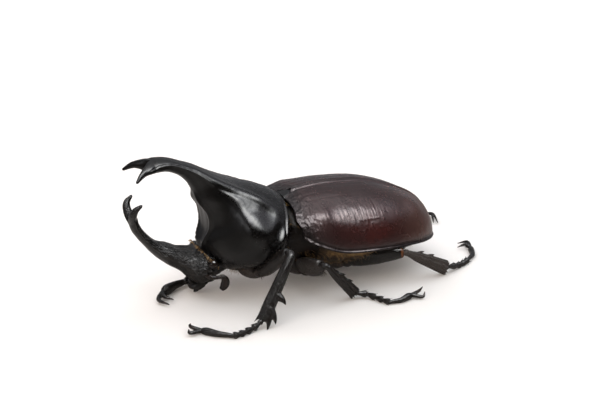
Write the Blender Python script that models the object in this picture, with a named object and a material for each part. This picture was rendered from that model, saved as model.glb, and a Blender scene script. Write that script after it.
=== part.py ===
# A male rhinoceros beetle (genus Xylotrupes), life size, standing still on the plane z = 0.
# Its head points to -X, its left side to -Y. Every size is in millimetres until a mesh is made.

import math

import bmesh
import bpy
from mathutils import Vector

MM = 0.001
GAP = 0.3                   # space kept between neighbouring pieces
MERGE = 0.0000005           # metres

# driving sizes
SHELL_MIDDLE_X = 10.0       # the widest place of the wing cases
SHELL_REACH = 18.6          # from there to their tips
SHELL_THICK = 1.0
SHELL_POWER = 2.25          # above 2 the cross-section is fuller than an ellipse
SHELL_LEAST = 7.5           # half width and height below which the shell's inside follows its x scale only
TRUNK_INSET = 1.6           # how far the body lies inside the outer face of the wing cases
SHELL_LONG = 22             # faces of a wing case along it and round it
SHELL_ROUND = 12
BODY_SIDES = 28
TRUNK_RINGS = 20
HEAD_SIDES = 18

# wing cases: suture line (x, z) and side margin (x, y, z), front to tip
SUTURE = ((-5.9, 18.1), (-1.6, 19.1), (5.0, 19.35), (12.7, 18.5), (18.2, 16.8), (23.0, 14.3),
          (26.9, 11.0), (28.6, 7.0))
MARGIN = ((-5.6, 11.6, 12.3), (-3.0, 13.1, 10.8), (2.5, 14.1, 8.8), (10.5, 14.4, 8.2), (17.5, 13.2, 7.6),
          (22.9, 10.6, 6.7), (26.9, 6.4, 5.9), (28.5, 0.5, 5.8))
BELLY = ((-7.6, 5.6), (-4.0, 4.1), (2.0, 3.7), (9.5, 3.4), (16.0, 3.6), (20.8, 4.2), (24.2, 5.0),
         (26.0, 5.6))
SCUTELLUM_WIDTH = 4.4
SCUTELLUM_LENGTH = 2.8
SCUTELLUM_THICK = 0.7
SCUTELLUM_ROOM = 0.4        # between its edge and the notch that holds it
SCUTELLUM_ARCH = 0.02       # drop of its top per square of the distance from the middle
NOTCH_REACH = 0.17          # share of the wing case over which the notch fades

# cross-sections of the thorax and its horn, from the fork to the rear margin:
# top x z, bottom x z, half width, height of the widest place, fullness above and below, sweep of the sides
THORAX = (
    (-34.4, 28.9, -34.2, 26.7, 2.9, 0.62, 2.4, 2.0, 0.0),
    (-32.4, 29.7, -32.6, 26.9, 2.5, 0.70, 2.6, 1.7, 0.0),
    (-30.0, 29.4, -30.4, 26.8, 2.2, 0.75, 2.8, 1.6, 0.0),
    (-27.2, 28.35, -28.3, 25.9, 2.3, 0.75, 2.8, 1.6, 0.0),
    (-24.4, 27.1, -26.6, 24.4, 2.8, 0.75, 2.6, 1.6, 0.0),
    (-21.8, 25.6, -25.4, 22.4, 3.7, 0.72, 2.4, 1.7, 0.0),
    (-19.2, 24.2, -24.8, 19.9, 4.9, 0.68, 2.2, 1.8, 0.0),
    (-16.4, 22.85, -23.9, 17.3, 6.5, 0.66, 2.1, 1.7, 0.2),
    (-13.6, 21.95, -23.8, 13.6, 8.4, 0.62, 2.0, 1.5, 0.4),
    (-11.4, 21.25, -24.9, 10.2, 9.9, 0.60, 2.0, 1.45, 0.6),
    (-9.6, 20.5, -22.6, 5.4, 11.3, 0.55, 2.0, 1.65, 1.0),
    (-8.2, 19.8, -17.0, 5.2, 12.2, 0.46, 2.0, 2.1, 1.6),
    (-7.2, 19.1, -12.6, 5.6, 12.2, 0.41, 2.0, 2.2, 2.2),
    (-6.35, 18.25, -9.4, 7.2, 11.5, 0.40, 2.0, 2.2, 2.4),
)
THORAX_RINGS = 24
THORAX_BACK = (-7.4, 17.2, -9.6, 8.4, 9.6, 0.42, 2.0, 2.2, 0.0)
NECK = (-7.2, 16.75, -9.22, 8.69, 9.1, 0.42, 2.0, 2.2, 0.0)
HORN_FOOT = ((-22.9, 26.3), (-25.8, 23.3))       # where the horn is parted from the thorax, x z
COLLAR = ((-25.2, 10.45), (-21.4, 5.7))          # plane where the head enters the thorax, x z
KEEL_TOP = ((-21.0, 6.2), (-9.0, 7.6))           # plane between the thorax and its underside piece

# head and its horn, from the neck to the fork
HEAD = (
    (-21.0, 9.4, -18.6, 5.4, 5.4, 0.50, 2.2, 2.2, 0.0),
    (-25.2, 10.1, -21.6, 3.8, 5.7, 0.50, 2.2, 2.2, 0.0),
    (-27.2, 10.5, -24.6, 2.1, 5.0, 0.50, 2.2, 2.2, 0.0),
    (-29.0, 11.1, -26.6, 3.5, 3.9, 0.50, 2.2, 2.0, 0.0),
    (-30.9, 12.2, -28.6, 5.6, 3.1, 0.50, 2.2, 2.0, 0.0),
    (-32.9, 12.8, -31.0, 7.3, 2.6, 0.50, 2.2, 2.0, 0.0),
    (-34.6, 13.9, -33.4, 9.2, 2.1, 0.50, 2.2, 2.0, 0.0),
    (-35.8, 15.4, -35.7, 11.9, 1.7, 0.50, 2.2, 2.0, 0.0),
    (-36.6, 17.0, -37.8, 14.9, 1.5, 0.50, 2.2, 2.0, 0.0),
    (-36.8, 18.0, -38.6, 17.0, 1.6, 0.50, 2.2, 2.0, 0.0),
)
HEAD_RINGS = 18
HEAD_HORN_FOOT = ((-30.2, 12.0), (-27.9, 4.9))

# prongs of both forks, left one of each pair: path and radii
THORAX_PRONG = ((-31.8, -0.9, 28.3), (-34.6, -2.0, 28.2), (-36.6, -3.3, 27.8), (-38.0, -4.1, 26.7))
THORAX_PRONG_SIZES = (1.05, 1.1, 0.75, 0.16)
HEAD_PRONG = ((-37.3, -0.6, 16.4), (-38.2, -1.6, 18.6), (-38.0, -2.6, 20.6), (-36.5, -3.1, 21.8))
HEAD_PRONG_SIZES = (0.85, 0.88, 0.68, 0.18)

EYE = (-23.8, 5.4, 7.9)
EYE_RADIUS = 1.3
ANTENNA_STALK = ((-23.9, -5.6, 5.5), (-23.0, -6.9, 5.4), (-21.9, -7.6, 5.9), (-21.1, -7.8, 5.4))
ANTENNA_SIZES = (0.42, 0.32, 0.3, 0.4)
CLUB_CENTRE = (-21.35, -7.8, 4.3)
LAMELLA = (0.8, 0.3, 1.45)  # half sizes of one leaf of the club
LAMELLA_STEP = 0.42
CHIN = ((-22.6, 0, 3.2), (2.0, 2.8, 1.3))        # centre, half sizes
PALP = ((-22.9, -1.6, 2.5), (-24.2, -2.1, 1.7), (-25.1, -2.1, 1.3), (-25.8, -1.7, 0.85))
PALP_SIZES = (0.4, 0.38, 0.36, 0.25)

KEEL = ((-14.9, 0, 6.6), (6.0, 6.4, 2.9))        # underside of the thorax: centre, half sizes
TRUNK_PARTING_X = 4.6       # between the part that carries the legs and the abdomen

# colours of the sub-parts: base colour, roughness
BLACK = (0.010, 0.009, 0.009)
MAROON = (0.055, 0.014, 0.012)
GREY_BLACK = (0.020, 0.018, 0.017)
BROWN = (0.060, 0.030, 0.012)
EYE_BLACK = (0.006, 0.005, 0.005)

# legs. Points are hip, knee, ankle; "edge" is the way the toothed edge of the tibia faces;
# "foot" runs over the joints of the tarsus to its end, and each claw is a bend point and a tip
LEGS = {
    "fore_left": {
        "pair": "fore", "coxa": (-14.2, -4.6, 5.3), "hip": (-13.9, -7.2, 5.6), "knee": (-10.8, -16.9, 12.8),
        "ankle": (-19.2, -21.5, 1.6), "edge": (0.72, -0.62, -0.31),
        "foot": ((-20.2, -21.9, 1.1), (-21.7, -22.4, 0.65), (-23.3, -23.0, 0.5), (-24.8, -23.5, 0.5),
                 (-26.2, -23.6, 0.5), (-28.6, -21.8, 0.6), (-30.8, -19.2, 0.55)),
        "claws": (((-32.3, -17.1, 0.9), (-31.6, -15.2, 0.5)), ((-33.3, -19.6, 0.8), (-33.1, -17.6, 0.5))),
    },
    "fore_right": {
        "pair": "fore", "coxa": (-14.2, 4.6, 5.3), "hip": (-14.0, 7.2, 5.6), "knee": (-12.6, 16.6, 12.0),
        "ankle": (-20.4, 10.6, 1.8), "edge": (0.55, 0.80, -0.25),
        "foot": ((-20.8, 10.1, 1.4), (-22.0, 8.6, 0.7), (-23.1, 7.0, 0.5), (-24.2, 5.4, 0.5),
                 (-25.4, 3.9, 0.6), (-28.6, 2.4, 0.7), (-31.4, 0.5, 0.55)),
        "claws": (((-33.8, -2.4, 0.9), (-32.4, -5.3, 0.5)), ((-32.0, -1.6, 0.9), (-30.9, -2.9, 0.5))),
    },
    "mid_left": {
        "pair": "mid", "coxa": (-4.6, -4.6, 4.2), "hip": (-4.6, -7.6, 4.9), "knee": (-3.5, -16.6, 9.2),
        "ankle": (2.7, -17.3, 1.4), "edge": (0.80, -0.18, 0.47),
        "foot": ((3.3, -17.6, 1.2), (5.2, -18.0, 0.9), (6.3, -19.6, 0.6), (7.1, -21.2, 0.55),
                 (7.9, -22.7, 0.5), (10.5, -22.9, 0.55), (13.0, -22.1, 0.75)),
        "claws": (((15.4, -21.2, 0.9), (16.0, -21.7, 1.9)), ((15.2, -23.2, 0.5), (15.9, -22.9, 1.3))),
    },
    "mid_right": {
        "pair": "mid", "coxa": (-4.6, 4.6, 4.2), "hip": (-4.6, 7.6, 4.9), "knee": (-3.5, 16.6, 9.2),
        "ankle": (2.7, 18.0, 1.4), "edge": (0.80, 0.18, 0.47),
        "foot": ((3.2, 18.5, 1.2), (4.6, 19.9, 0.75), (5.9, 21.1, 0.5), (7.3, 22.2, 0.5),
                 (8.7, 23.1, 0.5), (11.4, 23.6, 0.55), (13.9, 22.9, 0.6)),
        "claws": (((16.2, 22.6, 1.0), (17.2, 21.5, 0.5)), ((15.8, 24.0, 1.0), (17.2, 23.8, 0.5))),
    },
    "hind_left": {
        "pair": "hind", "coxa": (2.2, -5.2, 4.3), "hip": (4.4, -8.6, 4.9), "knee": (15.8, -14.1, 6.6),
        "ankle": (25.6, -14.3, 1.55), "edge": (0.46, 0.16, 0.88),
        "foot": ((26.5, -14.2, 1.5), (28.7, -13.2, 0.9), (30.4, -12.4, 0.55), (31.8, -11.7, 0.5),
                 (33.1, -10.9, 0.5), (35.7, -8.8, 0.55), (37.1, -5.6, 0.6)),
        "claws": (((37.9, -2.8, 0.9), (36.1, -1.8, 0.5)), ((36.6, -4.1, 1.0), (34.9, -3.8, 0.5))),
    },
    "hind_right": {
        "pair": "hind", "coxa": (2.2, 5.2, 4.3), "hip": (4.4, 8.6, 4.9), "knee": (15.8, 14.1, 6.6),
        "ankle": (25.8, 15.0, 1.55), "edge": (0.46, -0.10, 0.88),
        "foot": ((26.8, 15.1, 1.5), (29.0, 15.6, 0.8), (30.7, 16.1, 0.55), (32.2, 16.6, 0.5),
                 (33.7, 17.0, 0.5), (36.2, 17.2, 0.55), (38.4, 16.5, 0.6)),
        "claws": (((39.5, 15.0, 0.8), (38.3, 10.8, 0.5)), ((38.9, 14.6, 1.0), (37.4, 11.2, 0.5))),
    },
}

# shapes shared by both legs of a pair. Half widths run in the flat of the piece, half depths across it.
# "teeth" on the tibia are: place along it, length, lean towards the foot, half thickness at the root
PAIRS = {
    "fore": {
        "coxa_size": (3.1, 3.8, 2.2),
        "femur_width": (2.0, 2.5, 2.4, 1.9, 1.3), "femur_depth": (1.4, 1.6, 1.6, 1.4, 1.1),
        "tibia_width": (0.85, 1.05, 1.15, 1.25, 1.4), "tibia_depth": (0.8, 0.9, 0.95, 0.95, 0.85),
        "teeth": ((0.63, 2.2, 0.45, 0.55), (0.89, 2.3, 0.85, 0.55), (0.96, 2.5, 2.0, 0.5)),
        "spurs": ((-1.0, 1.3),),
    },
    "mid": {
        "coxa_size": (2.7, 3.9, 1.9),
        "femur_width": (1.5, 2.4, 2.5, 2.0, 1.2), "femur_depth": (1.1, 1.4, 1.4, 1.3, 1.0),
        "tibia_width": (0.75, 0.95, 1.15, 1.35, 1.6), "tibia_depth": (0.7, 0.75, 0.8, 0.85, 0.9),
        "teeth": ((0.36, 0.95, 0.8, 0.4), (0.64, 1.05, 0.8, 0.42)),
        "spurs": ((-1.0, 1.3), (-0.6, 1.2)),
    },
    "hind": {
        "coxa_size": (2.5, 4.8, 1.8),
        "femur_width": (1.4, 2.1, 2.2, 1.9, 1.2), "femur_depth": (1.1, 1.4, 1.5, 1.3, 1.0),
        "tibia_width": (0.7, 1.0, 1.25, 1.45, 1.65), "tibia_depth": (0.6, 0.75, 0.85, 0.9, 1.0),
        "teeth": ((0.30, 1.1, 0.85, 0.4), (0.57, 1.2, 0.85, 0.42)),
        "spurs": ((-1.0, 1.3), (-0.6, 1.2)),
    },
}
LEG_SIDES = 8
TARSUS_SIDES = 6
TARSUS_NARROW = 0.36
TARSUS_WIDE = 0.62
CLAW_SIDES = 5
CLAW_SIZES = (0.34, 0.3, 0.25, 0.1)
KNEE_RADIUS = 1.4
KNEE_BEND = 0.5             # angle between the rings of the knee, in radians


# ---- curves and rings ----

def curve_at(points, t):
    # smooth curve through rows of numbers, with t from 0 at the first row to 1 at the last
    spans = len(points) - 1
    place = min(max(t, 0.0), 1.0) * spans
    i = min(int(place), spans - 1)
    f = place - i
    here, there = points[i], points[i + 1]
    before = points[i - 1] if i > 0 else [2 * a - b for a, b in zip(here, there)]
    after = points[i + 2] if i + 2 <= spans else [2 * b - a for a, b in zip(here, there)]
    row = []
    for a, b, c, d in zip(before, here, there, after):
        row.append(0.5 * (2 * b + (c - a) * f + (2 * a - 5 * b + 4 * c - d) * f ** 2
                          + (3 * b - a - 3 * c + d) * f ** 3))
    return tuple(row)


def section(row, sides):
    # a closed ring from its top down the -Y side and up the +Y side, fuller or leaner than an ellipse
    top_x, top_z, low_x, low_z, half_width, waist, crown, keel, sweep = row
    ring = []
    for k in range(sides):
        turn = 2 * math.pi * k / sides
        up, out = math.cos(turn), math.sin(turn)
        power = 2 / (crown if up >= 0 else keel)
        reach = abs(out) ** power
        rise = abs(up) ** power
        height = waist + (1 - waist) * rise if up >= 0 else waist * (1 - rise)
        x = low_x + (top_x - low_x) * height - sweep * reach ** 2
        y = -half_width * reach if out >= 0 else half_width * reach
        ring.append(Vector((x, y, low_z + (top_z - low_z) * height)))
    return ring


def sections(rows, count, sides, first=0.0, last=1.0):
    return [section(curve_at(rows, first + (last - first) * k / (count - 1)), sides) for k in range(count)]


def shell_point(u, v, inset):
    # outer face of the right wing case, moved inwards by inset; u runs front to tip, v suture to margin
    top_x, top_z = curve_at(SUTURE, u)
    side_x, side_y, side_z = curve_at(MARGIN, u)
    turn = v * math.pi / 2
    out = math.sin(turn) ** (2 / SHELL_POWER)
    up = max(math.cos(turn), 0.0) ** (2 / SHELL_POWER)
    x = side_x + (top_x - side_x) * up
    if x > SHELL_MIDDLE_X:
        x = SHELL_MIDDLE_X + (x - SHELL_MIDDLE_X) * (1 - inset / SHELL_REACH)
    y = side_y * out * (1 - inset / max(side_y, SHELL_LEAST))
    z = side_z + (top_z - side_z) * up * (1 - inset / max(top_z - side_z, SHELL_LEAST))
    return Vector((x, y, z))


def trunk_ring(u, grow):
    # body under the wing cases: the inside of the shell above, the belly below
    inset = TRUNK_INSET - grow
    belly_x, belly_z = curve_at(BELLY, u)
    margin = shell_point(u, 1.0, inset)
    half = []
    for k in range(BODY_SIDES // 2 + 1):
        turn = 2 * math.pi * k / BODY_SIDES
        if turn <= math.pi / 2 + 0.001:
            half.append(shell_point(u, 2 * turn / math.pi, inset))
            continue
        out = math.sin(turn) ** (2 / SHELL_POWER)
        down = abs(math.cos(turn)) ** (2 / SHELL_POWER)
        x = margin.x + (belly_x - margin.x) * down
        half.append(Vector((x, margin.y * out, margin.z + (belly_z - grow - margin.z) * down)))
    half[-1].y = 0.0
    left = [Vector((p.x, -p.y, p.z)) for p in half]
    return left + [p.copy() for p in reversed(half[1:-1])]


# ---- meshes ----

def solid(rings, tip=None):
    # skin over rings of equal count, with flat caps, or a point after the last ring
    mesh = bmesh.new()
    rows = [[mesh.verts.new(p * MM) for p in ring] for ring in rings]
    for low, high in zip(rows, rows[1:]):
        for k in range(len(low)):
            n = (k + 1) % len(low)
            mesh.faces.new((low[k], low[n], high[n], high[k]))
    mesh.faces.new(list(reversed(rows[0])))
    if tip is None:
        mesh.faces.new(rows[-1])
    else:
        point = mesh.verts.new(tip * MM)
        for k, vert in enumerate(rows[-1]):
            mesh.faces.new((vert, rows[-1][(k + 1) % len(rows[-1])], point))
    return closed(mesh)


def closed(mesh):
    bmesh.ops.triangulate(mesh, faces=mesh.faces)
    bmesh.ops.recalc_face_normals(mesh, faces=mesh.faces)
    return mesh


def keep_side(mesh, point, normal):
    # cuts the mesh by a plane, keeps what lies against the normal, and closes it with a flat face
    everything = mesh.verts[:] + mesh.edges[:] + mesh.faces[:]
    cut = bmesh.ops.bisect_plane(mesh, geom=everything, dist=MERGE, plane_co=Vector(point) * MM,
                                 plane_no=Vector(normal), clear_outer=True)
    rim = [e for e in cut["geom_cut"] if isinstance(e, bmesh.types.BMEdge)]
    bmesh.ops.holes_fill(mesh, edges=rim, sides=0)
    return closed(mesh)


def plane_of(line):
    # normal of the plane through a line in the XZ plane, facing to -X
    (top_x, top_z), (low_x, low_z) = line
    normal = Vector((low_z - top_z, 0, top_x - low_x)).normalized()
    return normal if normal.x < 0 else -normal


def on_line(line, offset):
    return Vector((line[0][0], 0, line[0][1])) + plane_of(line) * offset


def tube(path, widths, depths, edge, sides, start=None):
    # a limb along a path, wide along "edge" and deep across it
    path = [Vector(p) for p in path]
    rings = []
    for i, point in enumerate(path):
        along = (path[min(i + 1, len(path) - 1)] - path[max(i - 1, 0)]).normalized()
        wide = (Vector(edge) - along * along.dot(Vector(edge))).normalized()
        deep = along.cross(wide)
        facing = start if i == 0 and start is not None else along
        ring = []
        for k in range(sides):
            turn = 2 * math.pi * k / sides
            offset = wide * widths[i] * math.cos(turn) + deep * depths[i] * math.sin(turn)
            offset -= along * (offset.dot(facing) / along.dot(facing))
            ring.append(point + offset)
        rings.append(ring)
    return solid(rings)


def smooth_tube(path, sizes, count, sides, edge=(0, 0, 1), flat=1.0):
    rows = [curve_at(path, k / (count - 1)) for k in range(count)]
    radii = [curve_at([(s,) for s in sizes], k / (count - 1))[0] for k in range(count)]
    return tube(rows, radii, [r * flat for r in radii], edge, sides)


def ball(centre, size, segments=14, rings=9, turn=0.0):
    mesh = bmesh.new()
    bmesh.ops.create_uvsphere(mesh, u_segments=segments, v_segments=rings, radius=1.0)
    along, across = Vector((math.cos(turn), math.sin(turn), 0)), Vector((-math.sin(turn), math.cos(turn), 0))
    for vert in mesh.verts:
        x, y, z = (c * s for c, s in zip(vert.co, size))
        vert.co = (Vector(centre) + along * x + across * y + Vector((0, 0, z))) * MM
    return closed(mesh)


# ---- objects ----

def material(name, colour, roughness):
    finish = bpy.data.materials.new(name)
    finish.use_nodes = True
    shader = finish.node_tree.nodes["Principled BSDF"]
    shader.inputs["Base Color"].default_value = (*colour, 1.0)
    shader.inputs["Roughness"].default_value = roughness
    shader.inputs["Metallic"].default_value = 0.0
    return finish


def object_of(name, mesh, group=None):
    data = bpy.data.meshes.new(name)
    mesh.to_mesh(data)
    mesh.free()
    thing = bpy.data.objects.new(name, data)
    (group or bpy.context.scene.collection).objects.link(thing)
    return thing


def largest_surface(mesh):
    # a union may leave a sealed hollow or a loose scrap; only the largest closed surface stays
    unseen = set(mesh.faces)
    groups = []
    while unseen:
        stack = [unseen.pop()]
        group = set(stack)
        while stack:
            for edge in stack.pop().edges:
                for face in edge.link_faces:
                    if face in unseen:
                        unseen.discard(face)
                        group.add(face)
                        stack.append(face)
        groups.append(group)

    def spread(group):
        points = [v.co for f in group for v in f.verts]
        return sum(max(p[a] for p in points) - min(p[a] for p in points) for a in range(3))

    best = max(groups, key=spread)
    bmesh.ops.delete(mesh, geom=[f for f in mesh.faces if f not in best], context="FACES")


def combined(mesh, pieces, operation):
    # one Boolean with a collection of closed meshes, applied, and the collection's objects removed
    group = bpy.data.collections.new("pieces")
    bpy.context.scene.collection.children.link(group)
    helpers = [object_of("piece", piece, group) for piece in pieces]
    base = object_of("base", mesh)
    boolean = base.modifiers.new("combine", "BOOLEAN")
    boolean.operation = operation
    boolean.operand_type = "COLLECTION"
    boolean.collection = group
    for solver in ("EXACT", "MANIFOLD"):        # the second only where the first leaves an edge open
        boolean.solver = solver
        result = bmesh.new()
        result.from_object(base, bpy.context.evaluated_depsgraph_get())
        bmesh.ops.remove_doubles(result, verts=result.verts, dist=MERGE)
        bmesh.ops.dissolve_degenerate(result, edges=result.edges, dist=MERGE)
        bmesh.ops.triangulate(result, faces=result.faces)
        if all(edge.is_manifold for edge in result.edges):
            break
    for thing in helpers + [base]:
        bpy.data.objects.remove(thing)
    bpy.data.collections.remove(group)
    largest_surface(result)
    return result


def fuse(mesh, pieces):
    return combined(mesh, pieces, "UNION")


def carve(mesh, pieces):
    return combined(mesh, pieces, "DIFFERENCE")


def node(name, mesh, colour, roughness, sharp=40.0):
    thing = object_of(name, mesh)
    thing.data.materials.append(material(name, colour, roughness))
    thing.data.shade_smooth()
    thing.data.set_sharp_from_angle(angle=math.radians(sharp))
    return thing


# ---- sub-parts ----

def mirrored(points):
    return tuple((x, -y, z) for x, y, z in points)


def thorax_solid():
    rings = sections(THORAX, THORAX_RINGS, BODY_SIDES)
    return solid(rings + [section(THORAX_BACK, BODY_SIDES)])


def make_thorax():
    pronotum = keep_side(thorax_solid(), on_line(HORN_FOOT, 0.0), plane_of(HORN_FOOT))
    keep_side(pronotum, on_line(COLLAR, -GAP), plane_of(COLLAR))
    keep_side(pronotum, on_line(KEEL_TOP, 0.0), -plane_of(KEEL_TOP))
    fore_legs = (LEGS["fore_left"], LEGS["fore_right"])
    hollows = [form(leg, GAP) for leg in fore_legs for form in (coxa_solid, femur_solid)]
    hollows += [eye_ball(sign, GAP) for sign in (-1, 1)]
    node("pronotum", carve(pronotum, hollows), BLACK, 0.22)

    shaft = keep_side(thorax_solid(), on_line(HORN_FOOT, GAP), -plane_of(HORN_FOOT))
    prongs = [smooth_tube(path, THORAX_PRONG_SIZES, 8, 8, flat=0.9)
              for path in (THORAX_PRONG, mirrored(THORAX_PRONG))]
    node("thoracic_horn", fuse(shaft, prongs), BLACK, 0.30)


def keel_solid(grow=0.0):
    centre, half_sizes = KEEL
    return ball(centre, [half + grow for half in half_sizes], 20, 11)


def make_keel():
    keel = keep_side(keel_solid(), on_line(KEEL_TOP, -GAP), plane_of(KEEL_TOP))
    node("prosternum", keel, GREY_BLACK, 0.5)


def head_solid(grow=0.0):
    rows = []
    for row in HEAD:
        top = Vector((row[0], 0, row[1]))
        low = Vector((row[2], 0, row[3]))
        way = (top - low).normalized() * grow
        top, low = top + way, low - way
        rows.append((top.x, top.z, low.x, low.z, row[4] + grow, *row[5:]))
    return solid(sections(rows, HEAD_RINGS, HEAD_SIDES))


def eye_ball(sign, grow=0.0):
    x, y, z = EYE
    return ball((x, sign * y, z), (EYE_RADIUS + grow,) * 3, 14, 9)


def make_head():
    head = keep_side(head_solid(), on_line(COLLAR, 0.0), -plane_of(COLLAR))
    keep_side(head, on_line(HEAD_HORN_FOOT, 0.0), plane_of(HEAD_HORN_FOOT))
    node("head", head, GREY_BLACK, 0.5)

    shaft = keep_side(head_solid(), on_line(HEAD_HORN_FOOT, GAP), -plane_of(HEAD_HORN_FOOT))
    prongs = [smooth_tube(path, HEAD_PRONG_SIZES, 7, 8) for path in (HEAD_PRONG, mirrored(HEAD_PRONG))]
    node("head_horn", fuse(shaft, prongs), BLACK, 0.35)

    for side, sign in (("left", -1), ("right", 1)):
        node("eye_" + side, carve(eye_ball(sign), [head_solid(GAP)]), EYE_BLACK, 0.08)


def make_antennae():
    for side, sign in (("left", 1), ("right", -1)):
        path = [(x, sign * y, z) for x, y, z in ANTENNA_STALK]
        stalk = smooth_tube(path, ANTENNA_SIZES, 6, 6)
        x, y, z = CLUB_CENTRE
        club = [ball((x + 0.05 * k, sign * (y + LAMELLA_STEP * k), z), LAMELLA, 7, 5) for k in (-1, 0, 1)]
        antenna = carve(fuse(stalk, club), [head_solid(GAP)])
        node("antenna_" + side, antenna, BROWN, 0.35)


def thorax_cutter():
    block = bmesh.new()
    bmesh.ops.create_cube(block, size=1.0)
    way = plane_of(COLLAR)
    middle = Vector((COLLAR[1][0], 0, COLLAR[1][1])) - way * 10.0
    across = Vector((0, 1, 0))
    up = way.cross(across)
    for vert in block.verts:
        x, y, z = vert.co
        vert.co = (middle + way * x * 20.0 + across * y * 40.0 + up * z * 40.0) * MM
    return closed(block)


def make_mouthparts():
    chin = ball(*CHIN, 12, 7)
    palps = [smooth_tube(path, PALP_SIZES, 5, 6) for path in (PALP, mirrored(PALP))]
    mouth = carve(fuse(chin, palps), [head_solid(GAP), thorax_cutter(), keel_solid(GAP)])
    node("mouthparts", mouth, GREY_BLACK, 0.4)


def trunk_solid(grow=0.0):
    rings = [trunk_ring(k / (TRUNK_RINGS - 1), grow) for k in range(TRUNK_RINGS)]
    return solid([section(NECK, BODY_SIDES)] + rings)


def make_trunk():
    front = keep_side(trunk_solid(), (TRUNK_PARTING_X - GAP / 2, 0, 0), (1, 0, 0))
    node("pterothorax", front, GREY_BLACK, 0.45)
    rear = keep_side(trunk_solid(), (TRUNK_PARTING_X + GAP / 2, 0, 0), (-1, 0, 0))
    node("abdomen", rear, GREY_BLACK, 0.4)


def make_scutellum():
    # a small shield in the notch between the wing cases, with a slightly arched top
    (front, height), (_, rise) = SUTURE[0], SUTURE[1]
    slope = (rise - height) / (SUTURE[1][0] - front)
    half = SCUTELLUM_WIDTH / 2 - SCUTELLUM_ROOM
    tip = half * SCUTELLUM_LENGTH / (SCUTELLUM_WIDTH / 2)
    outline = ((0.0, -half), (tip * 0.45, -half * 0.62), (tip, 0.0), (tip * 0.45, half * 0.62), (0.0, half))
    rings = []
    for drop in (SCUTELLUM_THICK, 0.0):
        rings.append([Vector((front + x, y, height + slope * x - SCUTELLUM_ARCH * y * y - drop))
                      for x, y in outline])
    node("scutellum", solid(rings), BLACK, 0.35)


def notch_width():
    # v of the wing case's front edge where the notch for the scutellum ends
    return math.asin((SCUTELLUM_WIDTH / 2 / MARGIN[0][1]) ** (SHELL_POWER / 2)) * 2 / math.pi


def shell_grid(sign, inset):
    # rows from the front to the tip; the front edge is notched beside the suture for the scutellum
    notch = notch_width()
    notch_depth = SCUTELLUM_LENGTH / (SUTURE[1][0] - SUTURE[0][0]) / (len(SUTURE) - 1)
    places = [0.0, notch / 2] + [notch + (1 - notch) * k / (SHELL_ROUND - 2) for k in range(SHELL_ROUND - 1)]
    grid = []
    for i in range(SHELL_LONG + 1):
        u = i / SHELL_LONG
        fade = max(0.0, 1 - u / NOTCH_REACH)
        row = []
        for v in places:
            point = shell_point(u + notch_depth * fade * max(0.0, 1 - v / notch), v, inset)
            row.append(Vector((point.x, sign * (point.y + GAP / 2), point.z)))
        grid.append(row)
    return grid


def make_shells():
    for side, sign in (("left", -1), ("right", 1)):
        mesh = bmesh.new()
        layers = []
        for inset in (0.0, SHELL_THICK):
            layers.append([[mesh.verts.new(p * MM) for p in row] for row in shell_grid(sign, inset)])
        outer, inner = layers
        for layer in layers:
            for low, high in zip(layer, layer[1:]):
                for a, b, c, d in zip(low, low[1:], high[1:], high):
                    mesh.faces.new((a, b, c))
                    mesh.faces.new((a, c, d))
        rims = [(outer[0], inner[0]), (outer[-1], inner[-1])]
        rims += [([row[k] for row in outer], [row[k] for row in inner]) for k in (0, -1)]
        for above, below in rims:
            for k in range(len(above) - 1):
                mesh.faces.new((above[k], above[k + 1], below[k + 1], below[k]))
        node("elytron_" + side, closed(mesh), MAROON, 0.25)


def knee_path(start, way, wide, ankle):
    # leaves the femur straight on, turns round the knee in an arc and runs to the ankle
    centre = start + wide * KNEE_RADIUS
    fold = way.angle(ankle - centre)
    steps = max(1, round(fold / KNEE_BEND))
    points = []
    for k in range(steps + 1):
        turn = fold * k / steps
        points.append(centre - wide * (KNEE_RADIUS * math.cos(turn)) + way * (KNEE_RADIUS * math.sin(turn)))
    return points


def tooth(root, way, length, thick, edge, sides=5):
    # a short spine that bends a little and ends in a blunt point, its root sunk in the limb
    path = [root - way * thick, root + way * length * 0.45, root + way * length]
    return tube(path, (thick, thick * 0.75, 0.1), (thick, thick * 0.7, 0.1), edge, sides)


def directions(leg):
    # along the femur, and across it towards the ankle
    hip, knee, ankle = (Vector(leg[key]) for key in ("hip", "knee", "ankle"))
    way = (knee - hip).normalized()
    wide = (ankle - knee) - way * way.dot(ankle - knee)
    return way, wide.normalized()


def coxa_solid(leg, grow=0.0):
    centre, hip = Vector(leg["coxa"]), Vector(leg["hip"])
    yaw = math.atan2(hip.y - centre.y, hip.x - centre.x) + math.pi / 2
    size = [s + grow for s in PAIRS[leg["pair"]]["coxa_size"]]
    return ball(centre, size, 14, 9, yaw)


def femur_path(leg):
    # from the coxa to where the arc of the knee begins
    way = directions(leg)[0]
    knee = Vector(leg["knee"])
    hip = Vector(leg["hip"]) + way * GAP
    fold = way.angle(Vector(leg["ankle"]) - knee)
    reach = (knee - hip).length - GAP - KNEE_RADIUS * math.tan(fold / 2)
    count = len(PAIRS[leg["pair"]]["femur_width"])
    return [hip + way * (reach * k / (count - 1)) for k in range(count)]


def femur_solid(leg, grow=0.0):
    form = PAIRS[leg["pair"]]
    way, wide = directions(leg)
    path = femur_path(leg)
    path[0] -= way * grow
    path[-1] += way * grow
    widths = [w + grow for w in form["femur_width"]]
    depths = [d + grow for d in form["femur_depth"]]
    return tube(path, widths, depths, wide, LEG_SIDES)


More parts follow.
